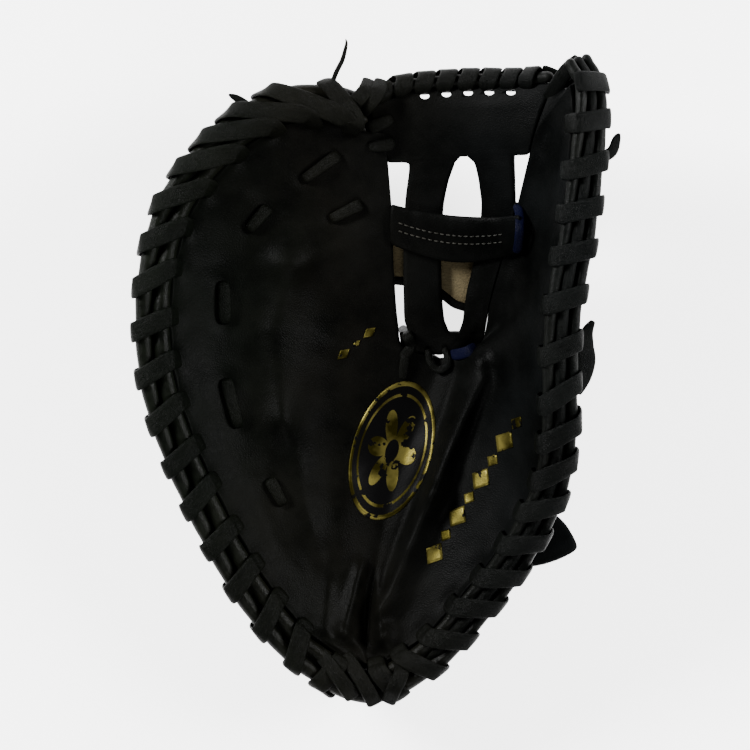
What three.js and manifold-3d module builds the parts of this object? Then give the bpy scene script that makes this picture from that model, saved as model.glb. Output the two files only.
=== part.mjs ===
// First baseman mitt lying on its back with the pocket up.
// Millimetres, +Z up, +Y to the fingertips and web, +X to the thumb, the ground at Z = 0.
import * as THREE from "three";
import { mergeVertices } from "three/addons/utils/BufferGeometryUtils.js";
import Module from "manifold-3d";

const wasm = await Module();
wasm.setup();

// Overall sizes
const mittLength = 324; // heel to thumb tip, along Y
const mittWidth = 240; // finger rim to thumb rim, along X
const thumbHeight = 112; // highest run of the thumb rim above the ground

// Walls and clearances
const palmWall = 7; // padded palm
const palmEdgeWall = 4.6; // palm where it meets the rim rolls
const backWall = 3;
const webWall = 3;
const clearance = 0.3;
const stallGap = 1.6; // between palm and back along the inner edges of the lobes

// Rim rolls and lacing
const rollRadius = 4.4;
const laceWidth = 6.5;
const laceThickness = 2;
const laceEndThickness = 1.6;
const fingerWraps = 18;
const thumbWraps = 17;
const holeSetback = 3.5; // from the rolls to a lacing hole

// Web
const webRollRadius = 3.2;
const webWraps = 8;
const crossbarWidth = 20;
const crossbarThickness = 3.4;
const barStand = 2; // room between the web panel and the bars across it
const backBarThickness = 2.4;
const bindingWidth = 4;

// Wrist side
const openingWidth = 84;
const openingLength = 100;
const openingX = 5;
const openingY = -70;
const bindingThickness = 3;
const strapWidth = 31;
const strapThickness = 3;
const seamGap = 0.5;

// Short laces drawn through the palm
const tieWidth = 6;
const tieThickness = 2;
const tieDepth = 3.4; // how far each end dips into the palm
const tieRise = 1.1; // slack of its middle over the leather

const up = new THREE.Vector3(0, 0, 1);
const halfWidth = mittWidth / 2;
const halfLength = mittLength / 2;

// A table is a list of column names and rows of numbers.
function table(names, rows) {
  return rows.map((row) => Object.fromEntries(names.map((name, i) => [name, row[i]])));
}

// A row's x, y and z are shares of the half width, the half length and the thumb's height.
function placed(row) {
  return new THREE.Vector3(row.x * halfWidth, row.y * halfLength, row.z * thumbHeight);
}

function curveThrough(rows) {
  return new THREE.CatmullRomCurve3(rows.map(placed), false, "catmullrom", 0.5);
}

// Rim from the top of the fingers down round the heel and up to the thumb tip.
// roll leans the pair of rolls outward, slope is how steeply the palm meets them, both in degrees;
// low is the lowest height of the back under that stretch.
const rimRows = table(
  ["x", "y", "z", "roll", "slope", "low"],
  [
    [0.02, 0.907, 0.589, 10, 35, 0.43],
    [-0.183, 0.941, 0.607, 5, 38, 0.37],
    [-0.383, 0.926, 0.625, 0, 42, 0.3],
    [-0.583, 0.852, 0.643, 0, 46, 0.21],
    [-0.758, 0.728, 0.661, 0, 50, 0.12],
    [-0.883, 0.599, 0.67, 0, 52, 0.05],
    [-0.954, 0.451, 0.67, 0, 54, 0.01],
    [-0.988, 0.302, 0.67, 0, 54, 0],
    [-0.992, 0.148, 0.661, 0, 54, 0],
    [-0.967, -0.019, 0.643, 0, 52, 0],
    [-0.9, -0.185, 0.616, 0, 50, 0],
    [-0.808, -0.352, 0.58, 0, 46, 0],
    [-0.692, -0.525, 0.536, 0, 42, 0],
    [-0.542, -0.71, 0.482, 0, 38, 0],
    [-0.325, -0.889, 0.429, 0, 34, 0.02],
    [-0.017, -1, 0.402, 0, 30, 0.05],
    [0.283, -0.901, 0.446, 0, 40, 0.03],
    [0.517, -0.716, 0.527, 0, 52, 0],
    [0.683, -0.549, 0.625, 0, 62, 0],
    [0.817, -0.352, 0.732, 0, 68, 0],
    [0.863, -0.173, 0.83, 0, 72, 0],
    [0.867, -0.012, 0.902, 0, 74, 0],
    [0.871, 0.148, 0.946, 0, 76, 0],
    [0.892, 0.29, 0.973, 0, 74, 0.07],
    [0.929, 0.426, 0.991, 0, 70, 0.17],
    [0.954, 0.562, 1, 5, 66, 0.29],
    [0.971, 0.691, 1, 15, 60, 0.4],
    [0.978, 0.8, 0.991, 30, 55, 0.5],
    [0.968, 0.89, 0.973, 48, 50, 0.59],
    [0.917, 0.965, 0.955, 62, 45, 0.66],
    [0.817, 0.997, 0.925, 72, 40, 0.7],
    [0.715, 0.972, 0.88, 78, 40, 0.7],
  ]
);

// Inner edge of the finger lobe from its top to the crotch of the mitt.
const fingerEdgeRows = table(
  ["x", "y", "z"],
  [
    [0.054, 0.778, 0.536],
    [0.071, 0.691, 0.509],
    [0.083, 0.599, 0.482],
    [0.092, 0.5, 0.451],
    [0.096, 0.395, 0.42],
    [0.104, 0.29, 0.393],
    [0.117, 0.191, 0.366],
    [0.142, 0.117, 0.344],
    [0.292, 0.086, 0.321],
  ]
);

// The hinge of the mitt from the crotch to the heel.
const hingeRows = table(
  ["x", "y", "z"],
  [
    [0.292, 0.086, 0.321],
    [0.258, 0.019, 0.312],
    [0.2, -0.105, 0.304],
    [0.133, -0.235, 0.299],
    [0.075, -0.37, 0.304],
    [0.033, -0.519, 0.312],
    [0, -0.667, 0.33],
    [-0.017, -0.8, 0.352],
  ]
);

// Inner edge of the thumb lobe from the crotch to its top.
const thumbEdgeRows = table(
  ["x", "y", "z"],
  [
    [0.292, 0.086, 0.321],
    [0.458, 0.13, 0.357],
    [0.5, 0.259, 0.438],
    [0.55, 0.395, 0.527],
    [0.6, 0.531, 0.616],
    [0.633, 0.636, 0.688],
    [0.658, 0.716, 0.741],
    [0.683, 0.79, 0.786],
    [0.717, 0.858, 0.821],
  ]
);

const rimCurve = curveThrough(rimRows);
const fingerEdge = curveThrough(fingerEdgeRows);
const hinge = curveThrough(hingeRows);
const thumbEdge = curveThrough(thumbEdgeRows);

const edgeSpan = fingerEdgeRows.length - 1;
const hingeSpan = hingeRows.length - 1;
const heelStation = edgeSpan + hingeSpan;
const lastStation = 2 * heelStation;
const rimSpan = rimRows.length - 1;
const stepsPerStation = 2;

// Point on the inner line of the palm that belongs to a station of the rim.
function innerPoint(station) {
  const mirrored = station <= heelStation ? station : lastStation - station;
  if (mirrored >= edgeSpan) {
    return hinge.getPoint((mirrored - edgeSpan) / hingeSpan);
  }
  return station <= heelStation
    ? fingerEdge.getPoint(mirrored / edgeSpan)
    : thumbEdge.getPoint((edgeSpan - mirrored) / edgeSpan);
}

// A column of the rim table between its rows.
function rimValue(name, station) {
  const low = Math.min(Math.floor(station), rimSpan - 1);
  return THREE.MathUtils.lerp(rimRows[low][name], rimRows[low + 1][name], station - low);
}

const rollPitch = 2 * rollRadius + clearance;

// Axes and centre of the pair of rolls at a station: out points away from the mitt, high points up.
function rimFrame(station) {
  const share = station / rimSpan;
  const along = rimCurve.getTangent(share);
  const level = new THREE.Vector3().crossVectors(along, up).normalize();
  const high = new THREE.Vector3().crossVectors(level, along).normalize();
  const lean = THREE.MathUtils.degToRad(rimValue("roll", station));
  const centre = rimCurve.getPoint(share);
  const reach = (rollPitch / 2) * Math.cos(lean) + rollRadius + clearance + laceThickness;
  centre.addScaledVector(level, -reach);
  const out = level.clone().multiplyScalar(Math.cos(lean)).addScaledVector(high, -Math.sin(lean));
  high.multiplyScalar(Math.cos(lean)).addScaledVector(level, Math.sin(lean));
  return { centre, along, out, high };
}

function inFrame(frame, outward, upward) {
  return frame.centre.clone().addScaledVector(frame.out, outward).addScaledVector(frame.high, upward);
}

// Where a wall meets a roll: its middle touches the roll at the given angle below level.
function wallAtRoll(rollCentre, side, degrees, wall) {
  const angle = THREE.MathUtils.degToRad(degrees);
  const away = new THREE.Vector2(side * Math.cos(angle), -Math.sin(angle));
  const skin = new THREE.Vector2(side * Math.sin(angle), Math.cos(angle));
  const middle = new THREE.Vector2(rollCentre, 0).addScaledVector(away, rollRadius + 2.5 * clearance);
  return {
    away,
    skin,
    front: middle.clone().addScaledVector(skin, wall / 2),
    rear: middle.clone().addScaledVector(skin, -wall / 2),
  };
}

const backSlope = 84;
function palmSeat(station) {
  const angle = rimValue("slope", station) + rimValue("roll", station);
  return wallAtRoll(-rollPitch / 2, -1, angle, palmEdgeWall);
}
function backSeat(station) {
  return wallAtRoll(rollPitch / 2, 1, backSlope - rimValue("roll", station), backWall);
}

// Geometry from a list of points and a list of triangles.
function meshOf(points, triangles) {
  const geometry = new THREE.BufferGeometry();
  geometry.setAttribute("position", new THREE.Float32BufferAttribute(points.flatMap((p) => p.toArray()), 3));
  geometry.setIndex(triangles.flat());
  return geometry;
}

function volumeOf(points, triangles) {
  const cross = new THREE.Vector3();
  return triangles.reduce((sum, [a, b, c]) => sum + cross.crossVectors(points[b], points[c]).dot(points[a]), 0);
}

// Faces turned so that they all point outward.
function facedOut(points, triangles) {
  const turned = volumeOf(points, triangles) < 0 ? triangles.map(([a, b, c]) => [a, c, b]) : triangles;
  return meshOf(points, turned);
}

// A wall between a front and a rear skin that share the same triangles, closed along every free edge.
function wallOf(front, rear, triangles) {
  const count = front.length;
  const faces = [...triangles, ...triangles.map(([a, b, c]) => [a + count, c + count, b + count])];
  const directed = new Set(triangles.flatMap(([a, b, c]) => [`${a},${b}`, `${b},${c}`, `${c},${a}`]));
  for (const edge of directed) {
    const [a, b] = edge.split(",").map(Number);
    if (!directed.has(`${b},${a}`)) {
      faces.push([b, a, a + count], [b, a + count, b + count]);
    }
  }
  return facedOut([...front, ...rear], faces);
}

// Outward direction of a skin at each of its points.
function skinNormals(points, triangles) {
  const geometry = meshOf(points, triangles);
  geometry.computeVertexNormals();
  const normal = geometry.getAttribute("normal");
  return points.map((_, i) => new THREE.Vector3().fromBufferAttribute(normal, i));
}

// Triangles of a grid of index numbers, leaving out those that shrink to a line.
function gridTriangles(rows) {
  const triangles = [];
  for (let i = 0; i + 1 < rows.length; i++) {
    for (let j = 0; j + 1 < rows[i].length; j++) {
      const [a, b, c, d] = [rows[i][j], rows[i + 1][j], rows[i + 1][j + 1], rows[i][j + 1]];
      triangles.push([a, b, c], [a, c, d]);
    }
  }
  return triangles.filter(([a, b, c]) => a !== b && b !== c && c !== a);
}

// A bar with a section of [sideways, outward] pairs at each frame; a looped bar has no ends.
function barOf(frames, section, looped = false) {
  const points = frames.flatMap((frame) => {
    return section.map(([a, b]) => frame.origin.clone().addScaledVector(frame.side, a).addScaledVector(frame.face, b));
  });
  const sides = points.length / frames.length;
  const rings = looped ? frames.length : frames.length - 1;
  const triangles = [];
  for (let i = 0; i < rings; i++) {
    for (let j = 0; j < sides; j++) {
      const next = (j + 1) % sides;
      const ahead = ((i + 1) % frames.length) * sides;
      triangles.push([i * sides + j, i * sides + next, ahead + next], [i * sides + j, ahead + next, ahead + j]);
    }
  }
  if (!looped) {
    const last = (frames.length - 1) * sides;
    for (let j = 1; j + 1 < sides; j++) {
      triangles.push([0, j + 1, j], [last, last + j, last + j + 1]);
    }
  }
  return facedOut(points, triangles);
}

const flatSection = (width, thickness) => [
  [-width / 2, -thickness / 2],
  [width / 2, -thickness / 2],
  [width / 2, thickness / 2],
  [-width / 2, thickness / 2],
];

function roundSection(radius, sides) {
  return Array.from({ length: sides }, (_, i) => {
    const angle = (2 * Math.PI * (i + 0.5)) / sides;
    return [radius * Math.cos(angle), radius * Math.sin(angle)];
  });
}

// Frames for a flat strip through points, with its broad face turned to the given directions.
function stripFrames(points, facings, looped = false) {
  const count = points.length;
  return points.map((origin, i) => {
    const before = looped ? points[(i + count - 1) % count] : points[Math.max(i - 1, 0)];
    const after = looped ? points[(i + 1) % count] : points[Math.min(i + 1, count - 1)];
    const along = after.clone().sub(before).normalize();
    const side = new THREE.Vector3().crossVectors(along, facings[i]).normalize();
    const face = new THREE.Vector3().crossVectors(side, along).normalize();
    return { origin, side, face };
  });
}

function solidOf(geometry) {
  const plain = new THREE.BufferGeometry();
  plain.setAttribute("position", geometry.getAttribute("position").clone());
  plain.setIndex(geometry.index.clone());
  const merged = mergeVertices(plain, 1e-4);
  return new wasm.Manifold(
    new wasm.Mesh({
      numProp: 3,
      vertProperties: merged.getAttribute("position").array,
      triVerts: new Uint32Array(merged.index.array),
    })
  );
}

function geometryOf(solid) {
  const mesh = solid.getMesh();
  const geometry = new THREE.BufferGeometry();
  geometry.setAttribute("position", new THREE.BufferAttribute(Float32Array.from(mesh.vertProperties), 3));
  geometry.setIndex(Array.from(mesh.triVerts));
  return geometry;
}

function cutBy(geometry, cutters) {
  let solid = solidOf(geometry);
  for (const cutter of cutters) {
    solid = solid.subtract(solidOf(cutter));
  }
  return geometryOf(solid);
}

// Raised rolls and hollows of the palm, each along a line; x and y are shares as in the rim table,
// width and height are shares of the palm's thickness.
const reliefRows = table(
  ["fromX", "fromY", "toX", "toY", "width", "height"],
  [
    [0.44, 0.07, 0.25, -0.33, 1.15, 0.7],
    [0.25, -0.33, 0.06, -0.72, 1.15, 0.85],
    [0.06, -0.78, 0.16, -0.84, 0.85, 0.43],
    [-0.02, 0.45, -0.36, 0.42, 1.85, 0.43],
    [-0.4, 0.35, -0.36, -0.2, 1.85, 0.57],
    [-0.36, -0.2, -0.25, -0.5, 1.7, 0.43],
    [-0.08, -0.3, -0.12, -0.75, 1.15, 0.43],
    [-0.6, 0.5, -0.7, -0.1, 2, -0.43],
  ]
);

function reliefAt(x, y) {
  const here = new THREE.Vector2(x / halfWidth, y / halfLength);
  return reliefRows.reduce((sum, row) => {
    const from = new THREE.Vector2(row.fromX, row.fromY);
    const line = new THREE.Vector2(row.toX, row.toY).sub(from);
    const share = THREE.MathUtils.clamp(here.clone().sub(from).dot(line) / line.lengthSq(), 0, 1);
    const near = from.addScaledVector(line, share);
    const away = Math.hypot((here.x - near.x) * halfWidth, (here.y - near.y) * halfLength);
    return sum + row.height * palmWall * Math.exp(-((away / (row.width * palmWall)) ** 2));
  }, 0);
}

// How the palm's columns stand between its inner line and the rim.
const palmColumns = [0, 0.13, 0.27, 0.42, 0.6, 0.8, 1];
const hingeReach = 0.45;
const rimReach = 0.5;
const reliefReach = 1.15; // the relief dies out at this share short of the rolls
const hingeSlope = { finger: 5, thumb: 24 };

// The palm's skin along one station, from the inner line to the rolls.
function palmSpoke(station) {
  const frame = rimFrame(station);
  const seat = palmSeat(station);
  const start = innerPoint(station);
  const end = inFrame(frame, seat.front.x, seat.front.y);
  const run = Math.hypot(end.x - start.x, end.y - start.y);
  const rise = end.z - start.z;
  const steep = THREE.MathUtils.degToRad(rimValue("slope", station));
  const thumbShare = THREE.MathUtils.smoothstep(station, heelStation - 2, heelStation + 3);
  const gentle = THREE.MathUtils.degToRad(THREE.MathUtils.lerp(hingeSlope.finger, hingeSlope.thumb, thumbShare));
  const back = Math.min((rimReach * Math.abs(rise)) / Math.sin(steep), (rimReach * run) / Math.cos(steep));
  const profile = new THREE.CubicBezierCurve(
    new THREE.Vector2(0, start.z),
    new THREE.Vector2(hingeReach * run, start.z + Math.min(hingeReach * run * Math.tan(gentle), hingeReach * rise)),
    new THREE.Vector2(run - back * Math.cos(steep), end.z - back * Math.sin(steep)),
    new THREE.Vector2(run, end.z)
  );
  return palmColumns.map((column) => {
    const { x: out, y: height } = profile.getPoint(column);
    const point = start.clone().lerp(end, out / run).setZ(height);
    const fade = Math.sin(Math.PI * Math.min(column * reliefReach, 1));
    return point.setZ(height + reliefAt(point.x, point.y) * fade);
  });
}

const stations = Array.from(
  { length: lastStation * stepsPerStation + 1 },
  (_, i) => i / stepsPerStation
);

function palmSkin() {
  const points = [];
  const hingeIndex = new Map();
  const rows = stations.map((station) => {
    const mirrored = Math.min(station, lastStation - station);
    return palmSpoke(station).map((point, column) => {
      if (column > 0 || mirrored < edgeSpan) {
        return points.push(point) - 1;
      }
      if (!hingeIndex.has(mirrored)) {
        hingeIndex.set(mirrored, points.push(point) - 1);
      }
      return hingeIndex.get(mirrored);
    });
  });
  return { points, rows, triangles: gridTriangles(rows) };
}

function palmGeometry() {
  const { points, rows, triangles } = palmSkin();
  const normals = skinNormals(points, triangles);
  const flip = normals[rows[0][4]].z < 0 ? -1 : 1;
  for (const row of [rows[0], rows[1], rows[rows.length - 2], rows[rows.length - 1]]) {
    row.forEach((index) => normals[index].copy(up).multiplyScalar(flip));
  }
  const rear = points.map((point, i) => point.clone().addScaledVector(normals[i], -flip * palmWall));
  rows.forEach((row, i) => {
    const station = stations[i];
    const seat = palmSeat(station);
    row.forEach((index, column) => {
      if (column === palmColumns.length - 1) {
        rear[index] = inFrame(rimFrame(station), seat.rear.x, seat.rear.y);
      }
    });
  });
  return wallOf(points, rear, triangles);
}

// How the back runs from the rolls to its inner line: shares of the way across, of the drop to its
// lowest height and of the rise from there to the inner line.
const backColumns = table(
  ["across", "drop", "rise"],
  [
    [0, 0, 0],
    [0.03, 0.3, 0],
    [0.12, 0.65, 0],
    [0.28, 0.93, 0],
    [0.5, 1, 0],
    [0.8, 1, 0.08],
    [1, 1, 1],
  ]
);

const openingStations = edgeSpan + 2;

// Point on the inner line of the back: under the lobe's edge, along the seam or round the opening.
function backInner(station) {
  const mirrored = Math.min(station, lastStation - station);
  const side = station <= heelStation ? -1 : 1;
  const low = rimValue("low", station) * thumbHeight;
  if (mirrored < edgeSpan) {
    const edge = innerPoint(station);
    const under = edge.z - palmWall - stallGap - backWall;
    return edge.setZ(Math.max(under, low));
  }
  const top = new THREE.Vector3(openingX, openingY + openingLength / 2, low);
  if (mirrored <= openingStations) {
    const crotch = innerPoint(edgeSpan);
    const share = (mirrored - edgeSpan) / (openingStations - edgeSpan);
    const lift = (1 - share) * (crotch.z - palmWall - stallGap - backWall - low);
    const point = crotch.lerp(top, share).setZ(low + lift * (1 - share));
    return point.add(new THREE.Vector3((side * seamGap) / 2, 0, 0));
  }
  const turn = (Math.PI * (mirrored - openingStations)) / (heelStation - openingStations);
  return new THREE.Vector3(
    openingX + side * Math.max((Math.sin(turn) * openingWidth) / 2, seamGap / 2),
    openingY + (Math.cos(turn) * openingLength) / 2,
    low
  );
}

function backSpoke(station, side) {
  const frame = rimFrame(station);
  const seat = backSeat(station);
  const start = inFrame(frame, seat.front.x, seat.front.y);
  const end = backInner(station);
  const low = Math.min(rimValue("low", station) * thumbHeight, end.z);
  if (station === heelStation) {
    start.x += (side * seamGap) / 2;
    end.x = openingX + (side * seamGap) / 2;
  }
  return backColumns.map(({ across, drop, rise }) => {
    const point = start.clone().lerp(end, across);
    return point.setZ(THREE.MathUtils.lerp(THREE.MathUtils.lerp(start.z, low, drop), end.z, rise));
  });
}

// One half of the back between two stations of the rim.
function backGeometry(first, last, side) {
  const used = stations.filter((station) => station >= first && station <= last);
  const points = [];
  const rows = used.map((station) => backSpoke(station, side).map((point) => points.push(point) - 1));
  const triangles = gridTriangles(rows);
  const normals = skinNormals(points, triangles);
  const middle = normals[rows[Math.floor(rows.length / 2)][5]];
  const inward = middle.z > 0 ? 1 : -1;
  const rear = points.map((point, i) => point.clone().addScaledVector(normals[i], inward * backWall));
  rows.forEach((row, i) => {
    const frame = rimFrame(used[i]);
    const seat = backSeat(used[i]);
    const shift = used[i] === heelStation ? (side * seamGap) / 2 : 0;
    rear[row[0]] = inFrame(frame, seat.rear.x, seat.rear.y).add(new THREE.Vector3(shift, 0, 0));
    if (used[i] === heelStation) {
      row.forEach((index) => rear[index].setX(points[index].x));
    }
    if (Math.min(used[i], lastStation - used[i]) >= edgeSpan) {
      const end = row[row.length - 1];
      rear[end].setX(points[end].x).setY(points[end].y);
      rear[end].setZ(points[end].z + backWall);
    }
  });
  return wallOf(points, rear, triangles);
}

// One of the two rolls, side -1 for the palm's and 1 for the back's.
const rollSides = 6;
const rollSteps = rimSpan * stepsPerStation;
function rollGeometry(side) {
  const frames = Array.from({ length: rollSteps + 1 }, (_, i) => {
    const frame = rimFrame((rimSpan * i) / rollSteps);
    return { origin: inFrame(frame, (side * rollPitch) / 2, 0), side: frame.out, face: frame.high };
  });
  return barOf(frames, roundSection(rollRadius, rollSides));
}

// Rim lace: one wrap goes over both rolls, down a hole in the palm, under and out of a hole in the back.
const wrapAdvance = [0, 0.03, 0.13, 0.17, 0.25, 0.36, 0.84, 0.92];
const rearSetback = holeSetback + 1.5; // the lace leaves a wall's rear further from the roll
const lacePass = laceThickness / 2 + 1.1; // from a wall's face to the middle of the lace over it
const palmRearPass = lacePass + 1.8;
const backRearPass = lacePass + 0.6;
const backFrontPass = lacePass + 0.2;
function wallPlace(seat, from, setback, pass) {
  return from.clone().addScaledVector(seat.away, setback).addScaledVector(seat.skin, pass).toArray();
}
function wrapPoint(station, corner) {
  const seat = palmSeat(station);
  const back = backSeat(station);
  const stand = rollRadius + 2 * clearance + laceThickness / 2;
  const shoulder = stand * Math.tan(Math.PI / 8);
  const beside = rollPitch / 2 + stand + 3 * clearance;
  const corners = [
    [beside, shoulder],
    [rollPitch / 2 + shoulder, stand],
    [-rollPitch / 2 - shoulder, stand],
    [-beside, shoulder],
    wallPlace(seat, seat.front, holeSetback, lacePass),
    wallPlace(seat, seat.rear, rearSetback, -palmRearPass),
    wallPlace(back, back.rear, rearSetback, -backRearPass),
    wallPlace(back, back.front, holeSetback, backFrontPass),
  ];
  return corners[corner];
}

// Points and facings of a lace wound between two stations.
function woundLace(first, last, wraps) {
  const from = lengthAt(first);
  const to = lengthAt(last);
  const turns = wrapAdvance.length;
  const points = [];
  const facings = [];
  for (let i = 0; i <= wraps * turns - 5; i++) {
    const corner = i % turns;
    const share = (Math.floor(i / turns) + wrapAdvance[corner]) / wraps;
    const station = stationAt(THREE.MathUtils.lerp(from, to, share));
    const frame = rimFrame(station);
    const [outward, upward] = wrapPoint(station, corner);
    points.push(inFrame(frame, outward, upward));
    const radial = new THREE.Vector3().addScaledVector(frame.out, outward / 2).addScaledVector(frame.high, upward);
    facings.push(radial.normalize());
  }
  return stripFrames(points, facings);
}

// Length along the rim up to a station, and back.
const rimLengths = rimCurve.getLengths(rimSpan * 20);
function lengthAt(station) {
  return rimLengths[Math.round((station / rimSpan) * (rimLengths.length - 1))];
}
function stationAt(length) {
  const above = Math.max(rimLengths.findIndex((value) => value >= length), 1);
  const share = (length - rimLengths[above - 1]) / (rimLengths[above] - rimLengths[above - 1]);
  return ((above - 1 + share) / (rimLengths.length - 1)) * rimSpan;
}

// A straight hole for a lace between two of its frames, longer than the stretch by a share of it.
const rimHoleSlack = 6 * clearance;
const tieHoleSlack = 2.5 * clearance;
function holeBetween(first, second, width, thickness, share) {
  const side = first.side.clone().add(second.side).normalize();
  const run = second.origin.clone().sub(first.origin);
  const face = new THREE.Vector3().crossVectors(side, run).normalize();
  side.crossVectors(run, face).normalize();
  const ends = [first.origin.clone().addScaledVector(run, -share), second.origin.clone().addScaledVector(run, share)];
  const section = flatSection(width, thickness);
  return barOf(ends.map((origin) => ({ origin, side, face })), section);
}

// The holes of a wound lace between one corner of each wrap and the next corner.
function laceHoles(frames, corner) {
  const width = laceWidth + 2 * rimHoleSlack;
  const thickness = laceThickness + 2 * rimHoleSlack;
  const holes = [];
  for (let i = corner; i + 1 < frames.length; i += wrapAdvance.length) {
    holes.push(holeBetween(frames[i], frames[i + 1], width, thickness, 0.25));
  }
  return holes;
}

// Height and place of a lobe's inner edge at a height y of the mitt.
function edgeAt(curve, y) {
  const points = curve.getPoints(edgeSamples);
  const near = points.reduce((best, point) => (Math.abs(point.y - y) < Math.abs(best.y - y) ? point : best));
  return near.clone().setY(y);
}

// The web between the lobes; y is a share of the half length, the posts and gaps are shares of the
// way from the finger lobe to the thumb lobe, open names the gaps below that level.
const webRows = [
  { y: 0.9, postA: 0.15, gapA: 0.38, gapB: 0.63, postB: 0.86, open: [] },
  { y: 0.86, postA: 0.15, gapA: 0.38, gapB: 0.63, postB: 0.86, open: [] },
  { y: 0.79, postA: 0.15, gapA: 0.42, gapB: 0.62, postB: 0.9, open: [] },
  { y: 0.735, postA: 0.15, gapA: 0.5, gapB: 0.6, postB: 0.93, open: [] },
  { y: 0.707, postA: 0.155, gapA: 0.53, gapB: 0.58, postB: 0.935, open: ["middle", "right"] },
  { y: 0.688, postA: 0.155, gapA: 0.485, gapB: 0.63, postB: 0.94, open: ["left", "middle", "right"] },
  { y: 0.636, postA: 0.136, gapA: 0.445, gapB: 0.675, postB: 0.955, open: ["left", "middle", "right"] },
  { y: 0.562, postA: 0.106, gapA: 0.416, gapB: 0.726, postB: 0.975, open: ["left", "middle"] },
  { y: 0.435, postA: 0.09, gapA: 0.418, gapB: 0.765, postB: 0.97, open: ["left", "middle"] },
  { y: 0.296, postA: 0.08, gapA: 0.476, gapB: 0.744, postB: 0.95, open: ["left", "middle"] },
  { y: 0.204, postA: 0.07, gapA: 0.522, gapB: 0.74, postB: 0.92, open: ["left", "middle"] },
  { y: 0.168, postA: 0.1, gapA: 0.58, gapB: 0.7, postB: 0.9, open: [] },
  { y: 0.144, postA: 0.15, gapA: 0.5, gapB: 0.7, postB: 0.88, open: [] },
];
const webGap = 0.9;
const webSag = 5;
const edgeSamples = 80;
const webDepth = palmWall / 2;

// The roll along the top of the web.
const webRollRows = table(
  ["x", "y", "z"],
  [
    [0.075, 0.9, 0.53],
    [0.17, 0.925, 0.55],
    [0.4, 0.937, 0.61],
    [0.6, 0.935, 0.69],
    [0.68, 0.925, 0.745],
  ]
);
const webRollCurve = curveThrough(webRollRows);

// A point of the web's middle surface, and the same behind or in front of it.
function webPoint(y, across, ahead = 0) {
  const left = edgeAt(fingerEdge, y);
  const right = edgeAt(thumbEdge, y);
  const sag = webSag * 4 * across * (1 - across) * THREE.MathUtils.smoothstep(y, 0.14 * halfLength, 0.4 * halfLength);
  const x = THREE.MathUtils.lerp(left.x + webGap, right.x - webGap, across);
  const z = THREE.MathUtils.lerp(left.z, right.z, across) - webDepth - sag + ahead;
  return new THREE.Vector3(x, y, z);
}

function webPanelGeometry() {
  const columns = (row) => [0, row.postA, row.gapA, row.gapB, row.postB, 1];
  const gaps = ["left", "", "middle", "", "right"];
  const middle = webRows.flatMap((row, level) =>
    columns(row).map((across) => {
      if (level > 0) {
        return webPoint(row.y * halfLength, across);
      }
      const roll = webRollCurve.getPoint(across);
      return new THREE.Vector3(roll.x, roll.y - webRollRadius - clearance, roll.z);
    })
  );
  const triangles = [];
  webRows.slice(0, -1).forEach((row, level) => {
    gaps.forEach((gap, j) => {
      if (!row.open.includes(gap)) {
        const [a, b] = [level * 6 + j, level * 6 + j + 1];
        triangles.push([a, a + 6, b + 6], [a, b + 6, b]);
      }
    });
  });
  const normals = skinNormals(middle, triangles);
  const half = webWall / 2;
  const front = middle.map((point, i) => point.clone().addScaledVector(normals[i], half));
  const rear = middle.map((point, i) => point.clone().addScaledVector(normals[i], -half));
  const used = [...new Set(triangles.flat())];
  const place = new Map(used.map((index, i) => [index, i]));
  const kept = triangles.map((triangle) => triangle.map((index) => place.get(index)));
  return wallOf(used.map((i) => front[i]), used.map((i) => rear[i]), kept);
}

// Frame on the web's top roll at a share of its length.
function webRollFrame(share) {
  const along = webRollCurve.getTangentAt(share);
  const out = new THREE.Vector3(0, 1, 0).addScaledVector(along, -along.y).normalize();
  const high = new THREE.Vector3().crossVectors(along, out).normalize();
  return { centre: webRollCurve.getPointAt(share), along, out, high };
}

const webLaceThickness = 1.6;
const webLaceWidth = 5.4;
const webHoleDrop = 4.9; // from the roll's middle to where the lace goes through
const webTurn = [0, 0.1, 0.22, 0.28, 0.55, 0.85];

// Share of the roll's length at which a corner of the web lace lies.
const webCorners = webTurn.length;
const webInset = 0.2; // of a wrap, left free at each end of the roll
function webShare(index) {
  const turn = Math.floor(index / webCorners) + webTurn[index % webCorners];
  return (turn + webInset) / (webWraps + 2 * webInset);
}

function webLaceFrames() {
  const stand = webRollRadius + 3.5 * clearance + webLaceThickness / 2;
  const pass = webWall / 2 + webLaceThickness / 2 + clearance;
  const corners = [
    [stand * 0.95, stand * 0.5],
    [0, stand],
    [-webHoleDrop, pass],
    [-webHoleDrop, -pass],
    [0, -stand],
    [stand * 0.95, -stand * 0.5],
  ];
  const points = [];
  const facings = [];
  for (let i = 0; i < webWraps * webCorners; i++) {
    const corner = i % webCorners;
    const frame = webRollFrame(webShare(i));
    points.push(inFrame(frame, ...corners[corner]));
    const [outward, upward] = corners[corner];
    const facing = new THREE.Vector3().addScaledVector(frame.out, outward).addScaledVector(frame.high, upward);
    facings.push(facing.normalize());
  }
  return stripFrames(points, facings);
}

// Holes under the roll, longer than the lace that passes through them.
const webHoleWidth = webLaceWidth + 5 * clearance;
const webHoleLength = 4.6;
const webHoleLow = 1.1; // the hole's middle below the lace that passes
function webHoles(frames) {
  return frames.flatMap((frame, i) => {
    if (i % webCorners !== 2) {
      return [];
    }
    const middle = frame.origin.clone().lerp(frames[i + 1].origin, 0.5);
    const low = middle.clone().add(new THREE.Vector3(0, -webHoleLow, 0));
    const roll = webRollFrame(webShare(i));
    const ends = [-1, 1].map((side) => ({
      origin: low.clone().addScaledVector(roll.high, side * 2 * webWall),
      side: roll.along,
      face: roll.out,
    }));
    return [barOf(ends, flatSection(webHoleWidth, webHoleLength))];
  });
}

// The bar across the front of the posts and the bar behind them.
const crossbarLeftY = 0.5;
const crossbarRightY = 0.45;
const crossbarReach = 0.965;
const barSteps = 8;

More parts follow.
